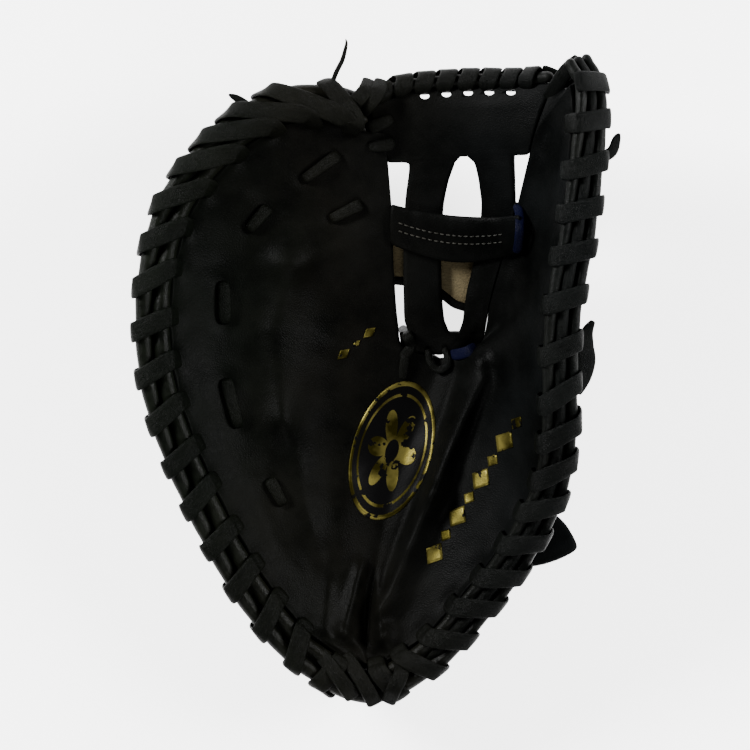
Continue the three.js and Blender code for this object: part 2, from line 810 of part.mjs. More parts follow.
function crossbarGeometry() {
  const ahead = webWall / 2 + clearance + crossbarThickness / 2 + barStand;
  const frames = Array.from({ length: barSteps + 1 }, (_, i) => {
    const across = (crossbarReach * i) / barSteps;
    const y = THREE.MathUtils.lerp(crossbarLeftY, crossbarRightY, across) * halfLength;
    const half = crossbarWidth / 2;
    const side = webPoint(y + half, across).sub(webPoint(y - half, across)).setX(0).normalize();
    const face = new THREE.Vector3().crossVectors(new THREE.Vector3(1, 0, 0), side);
    return { origin: webPoint(y, across, ahead), side, face };
  });
  return barOf(frames, flatSection(crossbarWidth, crossbarThickness));
}

const backBarRows = table(
  ["across", "top", "bottom"],
  [
    [0.0, 0.5, 0.335],
    [0.12, 0.49, 0.33],
    [0.42, 0.48, 0.3],
    [0.62, 0.47, 0.265],
    [0.8, 0.46, 0.25],
    [1, 0.45, 0.25],
  ]
);
const backBarBehind = webWall / 2 + backBarThickness / 2 + barStand;

function backBarGeometry() {
  const line = (name) => backBarRows.map((row) => webPoint(row[name] * halfLength, row.across, -backBarBehind));
  const [top, bottom] = [line("top"), line("bottom")];
  const points = [...top, ...bottom];
  const rows = [top.map((_, i) => i), bottom.map((_, i) => i + top.length)];
  const shift = (side) => points.map((p) => p.clone().addScaledVector(up, (side * backBarThickness) / 2));
  return wallOf(shift(1), shift(-1), gridTriangles(rows));
}

function backBindingGeometry() {
  const points = backBarRows.map((row) => {
    const y = row.bottom * halfLength - clearance - bindingWidth / 2;
    return webPoint(y, row.across, -backBarBehind);
  });
  const frames = points.map((origin) => ({ origin, side: new THREE.Vector3(0, 1, 0), face: up }));
  return barOf(frames, flatSection(bindingWidth, backBarThickness + 1));
}

function webRollGeometry() {
  const steps = 16;
  const frames = Array.from({ length: steps + 1 }, (_, i) => {
    const frame = webRollFrame(i / steps);
    return { origin: frame.centre, side: frame.out, face: frame.high };
  });
  return barOf(frames, roundSection(webRollRadius, 7));
}

// Short laces that show on the palm; each runs between two points given as shares.
const palmTieRows = table(
  ["fromX", "fromY", "toX", "toY"],
  [
    [-0.275, 0.635, -0.135, 0.71],
    [-0.16, 0.515, -0.04, 0.56],
    [-0.505, 0.48, -0.425, 0.55],
    [-0.61, 0.32, -0.605, 0.195],
    [-0.6, 0.02, -0.55, -0.125],
    [-0.42, -0.29, -0.365, -0.365],
  ]
);

// Laces that tie the web to the palm and the lobes.
const webTieRows = table(
  ["fromX", "fromY", "toX", "toY"],
  [
    [0.19, 0.155, 0.16, 0.03],
    [0.26, 0.155, 0.24, 0.035],
    [0.345, 0.155, 0.345, 0.03],
    [0.405, 0.165, 0.435, 0.075],
    [0.115, 0.7, 0.015, 0.685],
    [0.105, 0.78, 0.02, 0.735],
    [0.51, 0.48, 0.64, 0.445],
  ]
);

const raycaster = new THREE.Raycaster();
function heightOver(meshes, x, y) {
  raycaster.set(new THREE.Vector3(x, y, 2 * thumbHeight), new THREE.Vector3(0, 0, -1));
  const hit = raycaster.intersectObjects(meshes)[0];
  return hit ? hit.point.z : 0;
}

// Frames of a tie over the leather; with a depth, both ends go down into holes.
function tieFrames(row, meshes, depth) {
  const from = new THREE.Vector3(row.fromX * halfWidth, row.fromY * halfLength, 0);
  const to = new THREE.Vector3(row.toX * halfWidth, row.toY * halfLength, 0);
  const direction = to.clone().sub(from).normalize();
  const stand = tieThickness / 2 + clearance;
  const shares = [0, 0.3, 0.7, 1];
  const beside = new THREE.Vector3().crossVectors(direction, up).multiplyScalar(tieWidth / 2);
  const heights = shares.map((share) => {
    const rays = [-1, 0, 1].map((side) => from.clone().lerp(to, share).addScaledVector(beside, side));
    return Math.max(...rays.map((at) => heightOver(meshes, at.x, at.y)));
  });
  const over = (share, height) => from.clone().lerp(to, share).setZ(height + stand);
  const lie = (i) => Math.max(heights[i], THREE.MathUtils.lerp(heights[0], heights[3], shares[i])) + tieRise;
  const points = [over(0, heights[0]), over(0.22, lie(1)), over(0.78, lie(2)), over(1, heights[3])];
  const leans = [-0.2, -0.1, 0.1, 0.2];
  if (depth > 0) {
    points.unshift(over(0, heights[0] - depth - stand));
    points.push(over(1, heights[3] - depth - stand));
    leans.splice(0, leans.length, -1, -0.7, -0.1, 0.1, 0.7, 1);
  }
  const facings = leans.map((lean) => up.clone().multiplyScalar(1 - Math.abs(lean)).addScaledVector(direction, lean));
  return stripFrames(points, facings.map((facing) => facing.normalize()));
}

// The two straight holes that a tie's ends sit in.
function tieHoles(frames) {
  const last = frames.length - 1;
  const pairs = [[frames[0], frames[1]], [frames[last - 1], frames[last]]];
  const width = tieWidth + 2 * tieHoleSlack;
  const thickness = tieThickness + 2 * tieHoleSlack;
  return pairs.map(([first, second]) => holeBetween(first, second, width, thickness, 0.4));
}

// Binding round the wrist opening.
function openingBindingGeometry() {
  const steps = 24;
  const frames = Array.from({ length: steps }, (_, i) => {
    const share = i / steps;
    const station = openingStations + 2 * (heelStation - openingStations) * share;
    const rim = backInner(station);
    const inward = new THREE.Vector3(openingX - rim.x, openingY - rim.y, 0).normalize();
    const origin = rim.clone().addScaledVector(inward, bindingThickness / 2 + 2 * clearance);
    origin.z += bindingThickness / 2;
    return { origin, side: inward, face: up };
  });
  return barOf(frames, flatSection(bindingThickness, bindingThickness), true);
}

// Wrist strap: from inside the finger back, over the opening and out through a slot in the thumb back.
const strapRows = table(
  ["x", "y", "height"],
  [
    [-0.43, -0.44, 0],
    [-0.3, -0.44, 0],
    [0.05, -0.44, 0],
    [0.4, -0.44, 0],
    [0.5, -0.45, 0.018],
    [0.6, -0.455, 0.054],
    [0.7, -0.462, 0.107],
    [0.78, -0.47, 0.161],
    [0.825, -0.475, 0.196],
  ]
);
function strapFrames() {
  const bed = backWall + 3 * clearance + strapThickness / 2;
  const points = strapRows.map(
    (row) => new THREE.Vector3(row.x * halfWidth, row.y * halfLength, bed + row.height * thumbHeight)
  );
  return stripFrames(points, points.map(() => up));
}

// Free ends of the rim laces: the lace and the wrap that they leave, then how far they stand out and
// how wide they are, in shares of the lace's width.
const laceEndRows = table(
  ["thumb", "wrap", "acrossX", "acrossY", "rise", "bow", "width"],
  [
    [0, 1, 0.46, 2.9, 0.92, 0.08, 0.37],
    [0, 3, -1.23, 0.15, 0, 0, 0.77],
    [1, 15, 0.62, 1.38, -0.62, 0.08, 0.46],
    [1, 11, -0.15, -4.6, -1.85, 0.46, 0.92],
  ]
);

function laceEndGeometry(row) {
  const lace = row.thumb ? thumbLace : fingerLace;
  const wrap = lace[row.wrap * wrapAdvance.length];
  const away = wrap.face.clone().setZ(0).normalize();
  const stand = (laceThickness + laceEndThickness) / 2 + clearance;
  const root = wrap.origin.clone().addScaledVector(away, stand);
  const reach = new THREE.Vector3(row.acrossX, row.acrossY, row.rise).multiplyScalar(laceWidth);
  const tip = root.clone().add(reach);
  const middle = root.clone().lerp(tip, 0.5).addScaledVector(away, row.bow * laceWidth);
  const section = flatSection(row.width * laceWidth, laceEndThickness);
  return barOf(stripFrames([root, middle, tip], [away, away, away]), section);
}

const leather = { color: 0x17181a, roughness: 0.62, metalness: 0 };
const rollLeather = { color: 0x202225, roughness: 0.5, metalness: 0 };
const laceLeather = { color: 0x2a2d30, roughness: 0.55, metalness: 0 };
const fleshSide = { color: 0xb09674, roughness: 0.9, metalness: 0 };

const mitt = new THREE.Group();
function addPart(name, geometry, finish) {
  const mesh = new THREE.Mesh(geometry, new THREE.MeshStandardMaterial(finish));
  mesh.name = name;
  mitt.add(mesh);
  return mesh;
}

const laceSection = flatSection(laceWidth, laceThickness);
const fingerLace = woundLace(0.25, heelStation - 0.1, fingerWraps);
const thumbLace = woundLace(heelStation + 0.35, lastStation - 1.2, thumbWraps);
const palmHoles = [...laceHoles(fingerLace, 4), ...laceHoles(thumbLace, 4)];
const webLace = webLaceFrames();
const strap = strapFrames();

const palmPlain = palmGeometry();
const webPlain = cutBy(webPanelGeometry(), webHoles(webLace));
const crossbarPlain = crossbarGeometry();
const bare = [palmPlain, webPlain, crossbarPlain].map(
  (geometry) => new THREE.Mesh(geometry, new THREE.MeshBasicMaterial())
);
bare.forEach((mesh) => {
  mesh.material.side = THREE.DoubleSide;
});
const tieSection = flatSection(tieWidth, tieThickness);
const palmTies = palmTieRows.map((row) => tieFrames(row, bare, tieDepth));
const webTies = webTieRows.map((row) => tieFrames(row, bare, 0));
const palmTieHoles = palmTies.flatMap(tieHoles);

addPart("palm", cutBy(palmPlain, [...palmHoles, ...palmTieHoles]), leather);
addPart(
  "finger_back",
  cutBy(backGeometry(0, heelStation, -1), laceHoles(fingerLace, 6)),
  leather
);
addPart(
  "thumb_back",
  cutBy(backGeometry(heelStation, lastStation, 1), [
    ...laceHoles(thumbLace, 6),
    barOf(strap, flatSection(strapWidth + 2 * clearance, strapThickness + 2 * clearance)),
  ]),
  leather
);
addPart("palm_roll", rollGeometry(-1), rollLeather);
addPart("back_roll", rollGeometry(1), rollLeather);
addPart("finger_rim_lace", barOf(fingerLace, laceSection), laceLeather);
addPart("thumb_rim_lace", barOf(thumbLace, laceSection), laceLeather);
addPart("web_panel", webPlain, leather);
addPart("web_top_roll", webRollGeometry(), rollLeather);
addPart("web_top_lace", barOf(webLace, flatSection(webLaceWidth, webLaceThickness)), laceLeather);
addPart("web_crossbar", crossbarPlain, leather);
addPart("web_back_bar", backBarGeometry(), fleshSide);
addPart("web_bar_binding", backBindingGeometry(), leather);
palmTies.forEach((frames, i) => addPart(`palm_tie_${i + 1}`, barOf(frames, tieSection), laceLeather));
webTies.forEach((frames, i) => addPart(`web_tie_${i + 1}`, barOf(frames, tieSection), laceLeather));
addPart("opening_binding", openingBindingGeometry(), rollLeather);
addPart("wrist_strap", barOf(strap, flatSection(strapWidth, strapThickness)), leather);
laceEndRows.forEach((row, i) => addPart(`lace_end_${i + 1}`, laceEndGeometry(row), laceLeather));

// The outline's middle stands over the origin.
const extent = new THREE.Box3().setFromObject(mitt, true);
const middle = extent.getCenter(new THREE.Vector3());
mitt.position.set(-middle.x, -middle.y, -extent.min.z);

export default mitt;
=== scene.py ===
import math
import random

import bmesh
import bpy
from mathutils import Matrix, Vector, kdtree, noise
from mathutils.bvhtree import BVHTree


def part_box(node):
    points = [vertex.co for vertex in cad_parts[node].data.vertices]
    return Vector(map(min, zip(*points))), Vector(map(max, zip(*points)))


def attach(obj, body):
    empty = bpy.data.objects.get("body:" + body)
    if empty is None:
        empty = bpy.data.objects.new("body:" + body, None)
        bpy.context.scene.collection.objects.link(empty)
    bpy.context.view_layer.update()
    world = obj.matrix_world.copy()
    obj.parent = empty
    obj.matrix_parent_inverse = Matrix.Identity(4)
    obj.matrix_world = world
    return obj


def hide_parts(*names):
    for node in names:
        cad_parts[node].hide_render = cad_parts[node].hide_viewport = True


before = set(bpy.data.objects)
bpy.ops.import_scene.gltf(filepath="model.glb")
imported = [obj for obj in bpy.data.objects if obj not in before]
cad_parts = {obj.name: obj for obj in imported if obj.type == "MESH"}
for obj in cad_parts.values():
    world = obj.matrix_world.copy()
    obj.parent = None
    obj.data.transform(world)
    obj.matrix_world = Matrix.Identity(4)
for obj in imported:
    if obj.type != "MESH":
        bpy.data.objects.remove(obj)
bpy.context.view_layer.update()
random.seed(7)

# Driving sizes, in metres
mm = 0.001
halfWidth = 120 * mm
halfLength = 162 * mm
thumbHeight = 112 * mm
clearance = 0.3 * mm
wall = {"palm": 7 * mm, "palmEdge": 4.6 * mm, "back": 3 * mm, "web": 3 * mm, "stallGap": 1.6 * mm}
wall["rollGap"] = 2.5 * clearance
roll = {
    "radius": 4.4 * mm, "sides": 14, "stepsPerStation": 8, "bulge": 0.12,
    "squeezeLate": 0.08, "squeezeLead": 0.1,
}
roll["pitch"] = 2 * roll["radius"] + clearance
lace = {
    "width": 10.4 * mm, "thickness": 2 * mm, "fingerWraps": 18, "thumbWraps": 17,
    "rollGap": 0.3 * clearance, "wallGap": 1.1 * mm, "holeSetback": 3.5 * mm, "rearSetback": 5 * mm,
    "sinkInPalm": 1.2 * mm, "underPalm": 1.8 * mm, "underBack": 0.6 * mm,
}
opening = {"x": 5 * mm, "y": -70 * mm, "width": 84 * mm, "length": 100 * mm, "seamGap": 0.5 * mm}
up = Vector((0, 0, 1))

# The CAD solids stand with the middle of their outline over the origin; the tables below don't.
bindingLow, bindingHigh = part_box("opening_binding")
shift = (Vector(bindingLow) + Vector(bindingHigh)) / 2 - Vector((opening["x"], opening["y"], 0))
shift.z = 0


def table(names, rows):
    return [dict(zip(names, row)) for row in rows]


# Rim from the top of the fingers round the heel to the thumb tip, in shares of the half width, half
# length and thumb height; roll and slope in degrees, low is the height of the back under it.
rimRows = table(
    ["x", "y", "z", "roll", "slope", "low"],
    [
        [0.02, 0.907, 0.589, 10, 35, 0.43],
        [-0.183, 0.941, 0.607, 5, 38, 0.37],
        [-0.383, 0.926, 0.625, 0, 42, 0.3],
        [-0.583, 0.852, 0.643, 0, 46, 0.21],
        [-0.758, 0.728, 0.661, 0, 50, 0.12],
        [-0.883, 0.599, 0.67, 0, 52, 0.05],
        [-0.954, 0.451, 0.67, 0, 54, 0.01],
        [-0.988, 0.302, 0.67, 0, 54, 0],
        [-0.992, 0.148, 0.661, 0, 54, 0],
        [-0.967, -0.019, 0.643, 0, 52, 0],
        [-0.9, -0.185, 0.616, 0, 50, 0],
        [-0.808, -0.352, 0.58, 0, 46, 0],
        [-0.692, -0.525, 0.536, 0, 42, 0],
        [-0.542, -0.71, 0.482, 0, 38, 0],
        [-0.325, -0.889, 0.429, 0, 34, 0.02],
        [-0.017, -1, 0.402, 0, 30, 0.05],
        [0.283, -0.901, 0.446, 0, 40, 0.03],
        [0.517, -0.716, 0.527, 0, 52, 0],
        [0.683, -0.549, 0.625, 0, 62, 0],
        [0.817, -0.352, 0.732, 0, 68, 0],
        [0.863, -0.173, 0.83, 0, 72, 0],
        [0.867, -0.012, 0.902, 0, 74, 0],
        [0.871, 0.148, 0.946, 0, 76, 0],
        [0.892, 0.29, 0.973, 0, 74, 0.07],
        [0.929, 0.426, 0.991, 0, 70, 0.17],
        [0.954, 0.562, 1, 5, 66, 0.29],
        [0.971, 0.691, 1, 15, 60, 0.4],
        [0.978, 0.8, 0.991, 30, 55, 0.5],
        [0.975, 0.89, 0.973, 36, 50, 0.59],
        [0.938, 0.97, 0.955, 46, 45, 0.66],
        [0.862, 1.008, 0.925, 58, 40, 0.7],
        [0.768, 0.975, 0.87, 68, 40, 0.7],
    ],
)
fingerEdgeRows = [
    [0.054, 0.778, 0.536],
    [0.071, 0.691, 0.509],
    [0.083, 0.599, 0.482],
    [0.092, 0.5, 0.451],
    [0.096, 0.395, 0.42],
    [0.104, 0.29, 0.393],
    [0.117, 0.191, 0.366],
    [0.142, 0.117, 0.344],
    [0.292, 0.086, 0.321],
]
hingeRows = [
    [0.292, 0.086, 0.321],
    [0.258, 0.019, 0.312],
    [0.2, -0.105, 0.304],
    [0.133, -0.235, 0.299],
    [0.075, -0.37, 0.304],
    [0.033, -0.519, 0.312],
    [0, -0.667, 0.33],
    [-0.017, -0.8, 0.352],
]
thumbEdgeRows = [
    [0.292, 0.086, 0.321],
    [0.458, 0.13, 0.357],
    [0.5, 0.259, 0.438],
    [0.55, 0.395, 0.527],
    [0.6, 0.531, 0.616],
    [0.633, 0.636, 0.688],
    [0.658, 0.716, 0.741],
    [0.683, 0.79, 0.786],
    [0.74, 0.9, 0.83],
]


def placed(x, y, z):
    return Vector((x * halfWidth, y * halfLength, z * thumbHeight))


rimPoints = [placed(row["x"], row["y"], row["z"]) for row in rimRows]
fingerEdge = [placed(*row) for row in fingerEdgeRows]
hinge = [placed(*row) for row in hingeRows]
thumbEdge = [placed(*row) for row in thumbEdgeRows]
edgeSpan = len(fingerEdge) - 1
hingeSpan = len(hinge) - 1
heelStation = edgeSpan + hingeSpan
lastStation = 2 * heelStation
rimSpan = len(rimPoints) - 1


def mix(a, b, share):
    return a + (b - a) * share


def clamp(value, low=0.0, high=1.0):
    return max(low, min(high, value))


# The half width of a round end at a share of its length from the tip.
def roundEnd(share):
    share = clamp(share)
    return math.sqrt(clamp(share * (2 - share)))


def smoothStep(value, low, high):
    share = clamp((value - low) / (high - low))
    return share * share * (3 - 2 * share)


# A point of the smooth curve through a list of points, at a share of its rows.
def curvePoint(points, share):
    last = len(points) - 1
    place = share * last
    low = min(max(int(math.floor(place)), 0), last - 1)
    t = place - low
    p1, p2 = points[low], points[low + 1]
    p0 = points[low - 1] if low > 0 else 2 * p1 - p2
    p3 = points[low + 2] if low + 2 <= last else 2 * p2 - p1
    start, end = (p2 - p0) / 2, (p3 - p1) / 2
    second, third = 3 * (p2 - p1) - 2 * start - end, 2 * (p1 - p2) + start + end
    return p1 + start * t + second * t * t + third * t ** 3


def curveTangent(points, share):
    step = 0.0001
    return (curvePoint(points, min(share + step, 1)) - curvePoint(points, max(share - step, 0))).normalized()


def lengthsAlong(points):
    lengths = [0]
    for before, after in zip(points, points[1:]):
        lengths.append(lengths[-1] + (after - before).length)
    return lengths


# The share of a curve's rows that lies at a share of its length.
def curveAtLength(points, share, count=60):
    lengths = lengthsAlong([curvePoint(points, i / count) for i in range(count + 1)])
    target = share * lengths[-1]
    step = next((i for i in range(1, count + 1) if lengths[i] >= target), count)
    part = (target - lengths[step - 1]) / (lengths[step] - lengths[step - 1])
    return (step - 1 + part) / count


# The palm's inner line: the finger edge, the hinge to the heel and back, and the thumb edge.
def innerPoint(station):
    mirrored = min(station, lastStation - station)
    if mirrored >= edgeSpan:
        return curvePoint(hinge, (mirrored - edgeSpan) / hingeSpan)
    if station <= heelStation:
        return curvePoint(fingerEdge, mirrored / edgeSpan)
    return curvePoint(thumbEdge, (edgeSpan - mirrored) / edgeSpan)


def rimValue(name, station):
    low = min(int(math.floor(station)), rimSpan - 1)
    return mix(rimRows[low][name], rimRows[low + 1][name], station - low)


# Centre of the pair of rolls at a station, and its directions along, out and high.
def rimFrame(station):
    share = station / rimSpan
    along = curveTangent(rimPoints, share)
    level = along.cross(up).normalized()
    high = level.cross(along).normalized()
    lean = math.radians(rimValue("roll", station))
    reach = roll["pitch"] / 2 * math.cos(lean) + roll["radius"] + clearance + lace["thickness"]
    centre = curvePoint(rimPoints, share) - level * reach
    out = level * math.cos(lean) - high * math.sin(lean)
    high = high * math.cos(lean) + level * math.sin(lean)
    return {"centre": centre, "along": along, "out": out, "high": high}


def inFrame(rim, place):
    return rim["centre"] + rim["out"] * place[0] + rim["high"] * place[1]


# Where a wall meets a roll at an angle below level.
def wallAtRoll(rollCentre, side, degrees, thickness):
    angle = math.radians(degrees)
    away = Vector((side * math.cos(angle), -math.sin(angle)))
    skin = Vector((side * math.sin(angle), math.cos(angle)))
    middle = Vector((rollCentre, 0)) + away * (roll["radius"] + wall["rollGap"])
    half = skin * thickness / 2
    return {"away": away, "skin": skin, "front": middle + half, "rear": middle - half}


def palmSeat(station):
    degrees = rimValue("slope", station) + rimValue("roll", station)
    return wallAtRoll(-roll["pitch"] / 2, -1, degrees, wall["palmEdge"])


backSlope = 84


def backSeat(station):
    return wallAtRoll(roll["pitch"] / 2, 1, backSlope - rimValue("roll", station), wall["back"])


# A new piece of the mitt from points and faces, standing for the named CAD nodes.
pieces = {}
slots = {}
rimCrease = 0.8


def makePiece(name, points, faces, slotName, nodes=(), levels=0, uvs=None, rims=None):
    mesh = bpy.data.meshes.new(name)
    mesh.from_pydata([point + shift for point in points], [], faces)
    if uvs:
        layer = mesh.uv_layers.new(name="UVMap")
        for loop in mesh.loops:
            layer.data[loop.index].uv = uvs[loop.vertex_index]
    work = bmesh.new()
    work.from_mesh(mesh)
    bmesh.ops.recalc_face_normals(work, faces=work.faces)
    for face in work.faces:
        face.smooth = True
    if rims:
        creases = work.edges.layers.float.new("crease_edge")
        for edge in work.edges:
            a, b = edge.verts[0].index, edge.verts[1].index
            if (a, b) in rims or (b, a) in rims:
                edge[creases] = rimCrease
    work.to_mesh(mesh)
    work.free()
    piece = bpy.data.objects.new(name, mesh)
    bpy.context.scene.collection.objects.link(piece)
    if levels:
        smoothing = piece.modifiers.new("Smoothing", "SUBSURF")
        smoothing.levels = levels
        smoothing.render_levels = levels
    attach(piece, "root")
    if nodes:
        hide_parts(*nodes)
    pieces[name] = piece
    slots[name] = slotName
    return piece


# A closed wall between a front and a rear skin that share the same quads.
def wallOf(front, rear, quads):
    count = len(front)
    faces = [list(quad) for quad in quads] + [[index + count for index in reversed(quad)] for quad in quads]
    directed = {(quad[i], quad[(i + 1) % len(quad)]) for quad in quads for i in range(len(quad))}
    rims = set()
    for a, b in sorted(directed):
        if (b, a) not in directed:
            faces.append([b, a, a + count, b + count])
            rims.update([(a, b), (a + count, b + count)])
    return list(front) + list(rear), faces, rims


def gridQuads(rows):
    quads = []
    for row, after in zip(rows, rows[1:]):
        for j in range(len(row) - 1):
            quad = [row[j], after[j], after[j + 1], row[j + 1]]
            quad = [index for i, index in enumerate(quad) if index != quad[i - 1]]
            if len(quad) > 2:
                quads.append(quad)
    return quads


def skinNormals(points, quads):
    normals = [Vector((0, 0, 0)) for _ in points]
    for quad in quads:
        face = Vector((0, 0, 0))
        for i in range(1, len(quad) - 1):
            face += (points[quad[i]] - points[quad[0]]).cross(points[quad[i + 1]] - points[quad[0]])
        for index in quad:
            normals[index] += face
    return [normal.normalized() for normal in normals]


# A tube or strip: a ring of [sideways, outward] places at each frame.
def barOf(frames, sectionAt, looped=False):
    points = []
    uvs = []
    length = 0
    for i, (origin, side, face) in enumerate(frames):
        outline = sectionAt(i / (len(frames) - 1))
        if i:
            length += (origin - frames[i - 1][0]).length
        for j, (a, b) in enumerate(outline):
            points.append(origin + side * a + face * b)
            uvs.append((length, j / len(outline)))
    sides = len(points) // len(frames)
    faces = []
    for i in range(len(frames) if looped else len(frames) - 1):
        ahead = (i + 1) % len(frames) * sides
        for j in range(sides):
            following = (j + 1) % sides
            faces.append([i * sides + j, i * sides + following, ahead + following, ahead + j])
    if not looped:
        faces.append(list(range(sides))[::-1])
        faces.append([len(points) - sides + j for j in range(sides)])
    return points, faces, uvs


def makeBar(name, frames, sectionAt, slotName, nodes=(), levels=1, looped=False):
    points, faces, uvs = barOf(frames, sectionAt, looped)
    return makePiece(name, points, faces, slotName, nodes, levels, uvs)


def roundSection(radius, sides):
    angles = [2 * math.pi * i / sides for i in range(sides)]
    return [(radius * math.cos(angle), radius * math.sin(angle)) for angle in angles]


# Section of a flat strip with rounded edges and a slightly crowned face; its shoulders and edges
# are shares of the half thickness, and its crown starts at a share of the half width.
strip = {"edge": 0.55, "shoulder": 0.8, "crownFrom": 0.6, "crown": 0.12}


def stripSection(width, thickness, crown=strip["crown"]):
    half = thickness / 2
    edge = width / 2 - strip["edge"] * half
    shoulder = half * strip["shoulder"]
    rise, inner = half * (1 + crown / 2), strip["crownFrom"] * edge
    top = [(edge, shoulder), (inner, rise), (0, half * (1 + crown)), (-inner, rise), (-edge, shoulder)]
    low = [(-edge, -shoulder), (0, -half), (edge, -shoulder)]
    return [(width / 2, 0)] + top + [(-width / 2, 0)] + low


# Frames for a strip through points, its broad face turned to the facings.
def stripFrames(points, facings, looped=False):
    count = len(points)
    frames = []
    for i, origin in enumerate(points):
        before = points[i - 1] if i or looped else points[0]
        after = points[(i + 1) % count] if i + 1 < count or looped else points[-1]
        along = (after - before).normalized()
        side = along.cross(facings[i]).normalized()
        frames.append((origin, side, side.cross(along).normalized()))
    return frames


# More points along a strip: the corners become rounds.
def rounded(points, facings, steps):
    last = len(points) - 1
    newPoints = []
    newFacings = []
    for i in range(last * steps + 1):
        share = i / (last * steps)
        low = min(i // steps, last - 1)
        newPoints.append(curvePoint(points, share))
        newFacings.append(facings[low].lerp(facings[low + 1], i / steps - low).normalized())
    return newPoints, newFacings


# Raised rolls, folds and creases of the palm: a line in shares, its width and height in millimetres.
reliefRows = table(
    ["fromX", "fromY", "toX", "toY", "width", "height"],
    [
        [0.44, 0.07, 0.25, -0.33, 6.5, 8.5],
        [0.25, -0.33, 0.07, -0.66, 6.5, 9],
        [0.06, -0.78, 0.16, -0.84, 6, 3],
        [-0.02, 0.45, -0.33, 0.4, 11, 4.8],
        [-0.36, 0.35, -0.36, -0.1, 11, 5.2],
        [-0.36, -0.1, -0.25, -0.45, 11, 3],
        [-0.08, -0.3, -0.12, -0.75, 8, 3],
        [-0.6, 0.5, -0.7, -0.1, 14, -3],
    ],
)
foldRows = table(
    ["fromX", "fromY", "toX", "toY", "width", "height"],
    [
        [0.47, 0.02, 0.3, -0.25, 3.4, 3.4],
        [0.3, -0.25, 0.15, -0.5, 3.6, 3.8],
        [0.15, -0.5, 0.03, -0.7, 3.6, 2.8],
        [0.37, 0.05, 0.21, -0.3, 2.4, -2.4],
        [0.21, -0.3, 0.03, -0.66, 2.6, -3],
        [0.02, -0.62, 0.05, -0.77, 3.4, 6],
        [0.05, -0.77, 0.15, -0.86, 3.4, 5.6],
        [-0.04, -0.56, -0.11, -0.76, 3.6, 5.6],
        [-0.11, -0.76, -0.19, -0.84, 3.4, 4.6],
        [-0.05, -0.8, 0.0, -0.88, 2.8, 3],
        [-0.01, -0.6, -0.03, -0.78, 2, -2.4],
        [-0.17, -0.6, -0.2, -0.74, 3, -2],
        [0.24, 0.03, 0.12, -0.12, 2.2, -1.2],
        [0.1, -0.15, -0.05, -0.28, 2.6, -1.0],
        [-0.02, 0.46, -0.3, 0.37, 4.5, 1.2],
        [-0.3, 0.37, -0.41, 0.17, 4.5, 1.3],
        [-0.41, 0.17, -0.36, -0.11, 3.5, 1.5],
        [-0.36, -0.11, -0.25, -0.3, 3.5, 1.2],
        [-0.3, -0.28, -0.2, -0.55, 3, 1],
        [-0.48, -0.3, -0.4, -0.5, 5, -1.4],
        [0.45, -0.12, 0.3, -0.42, 6, -2],
        [0.55, 0.1, 0.62, -0.1, 5, 1.4],
        [-0.5, 0.62, -0.36, 0.56, 4, -1.2],
        [-0.22, 0.2, -0.3, 0.0, 7, 1.2],
    ],
)


def reliefAt(x, y, rows):
    total = 0
    for row in rows:
        fromX, fromY = row["fromX"] * halfWidth, row["fromY"] * halfLength
        lineX, lineY = row["toX"] * halfWidth - fromX, row["toY"] * halfLength - fromY
        share = clamp(((x - fromX) * lineX + (y - fromY) * lineY) / (lineX * lineX + lineY * lineY))
        away = math.hypot(x - fromX - share * lineX, y - fromY - share * lineY)
        total += row["height"] * mm * math.exp(-(away / (row["width"] * mm)) ** 2)
    return total


# The palm's slopes at the hinge in degrees, where it fades from relief to its edges, and its
# wrinkles with their heights in millimetres.
palmSkin = {
    "fingerSlope": 5, "thumbSlope": 24, "slopeFrom": heelStation - 2, "slopeTo": heelStation + 3,
    "hingeReach": 0.45, "rimReach": 0.5, "reliefFade": 1.15, "fadeIn": 0.08, "fadeOut": 0.12,
    "wrinkles": 70, "wrinkleHeight": 0.9, "fineWrinkles": 190, "fineHeight": 0.35,
}


# The palm's skin along one station, from the inner line to the rolls, at the given shares.
def palmSpoke(station, columns):
    s = palmSkin
    rim = rimFrame(station)
    start = innerPoint(station)
    end = inFrame(rim, palmSeat(station)["front"])
    run = math.hypot(end.x - start.x, end.y - start.y)
    rise = end.z - start.z
    steep = math.radians(rimValue("slope", station))
    thumbShare = smoothStep(station, s["slopeFrom"], s["slopeTo"])
    gentle = math.radians(mix(s["fingerSlope"], s["thumbSlope"], thumbShare))
    back = min(s["rimReach"] * abs(rise) / math.sin(steep), s["rimReach"] * run / math.cos(steep))
    ahead = s["hingeReach"] * run
    profile = [
        Vector((0, start.z)),
        Vector((ahead, start.z + min(ahead * math.tan(gentle), s["hingeReach"] * rise))),
        Vector((run - back * math.cos(steep), end.z - back * math.sin(steep))),
        Vector((run, end.z)),
    ]
    points = []
    for share in columns:
        rest = 1 - share
        place = profile[0] * rest ** 3 + profile[1] * 3 * share * rest ** 2
        place = place + profile[2] * 3 * share ** 2 * rest + profile[3] * share ** 3
        point = start.lerp(end, place.x / run)
        fade = max(math.sin(math.pi * min(share * s["reliefFade"], 1)), 0)
        fineFade = smoothStep(share, 0, s["fadeIn"]) * smoothStep(1 - share, 0, s["fadeOut"])
        wrinkle = noise.noise(Vector((point.x, point.y, station * 0.01)) * s["wrinkles"])
        fine = noise.noise(Vector((point.x, point.y, 0.3)) * s["fineWrinkles"])
        wrinkle = wrinkle * s["wrinkleHeight"] * mm + fine * s["fineHeight"] * mm
        height = reliefAt(point.x, point.y, reliefRows) * fade
        height += (reliefAt(point.x, point.y, foldRows) + wrinkle) * fineFade
        point.z = place.y + height
        points.append(point)
    return points


# Rim lacing: lengths along the rim, and the corners of one wrap.
rimSteps = rimSpan * 20
rimLengths = lengthsAlong([curvePoint(rimPoints, i / rimSteps) for i in range(rimSteps + 1)])


def lengthAt(station):
    return rimLengths[round(station / rimSpan * rimSteps)]


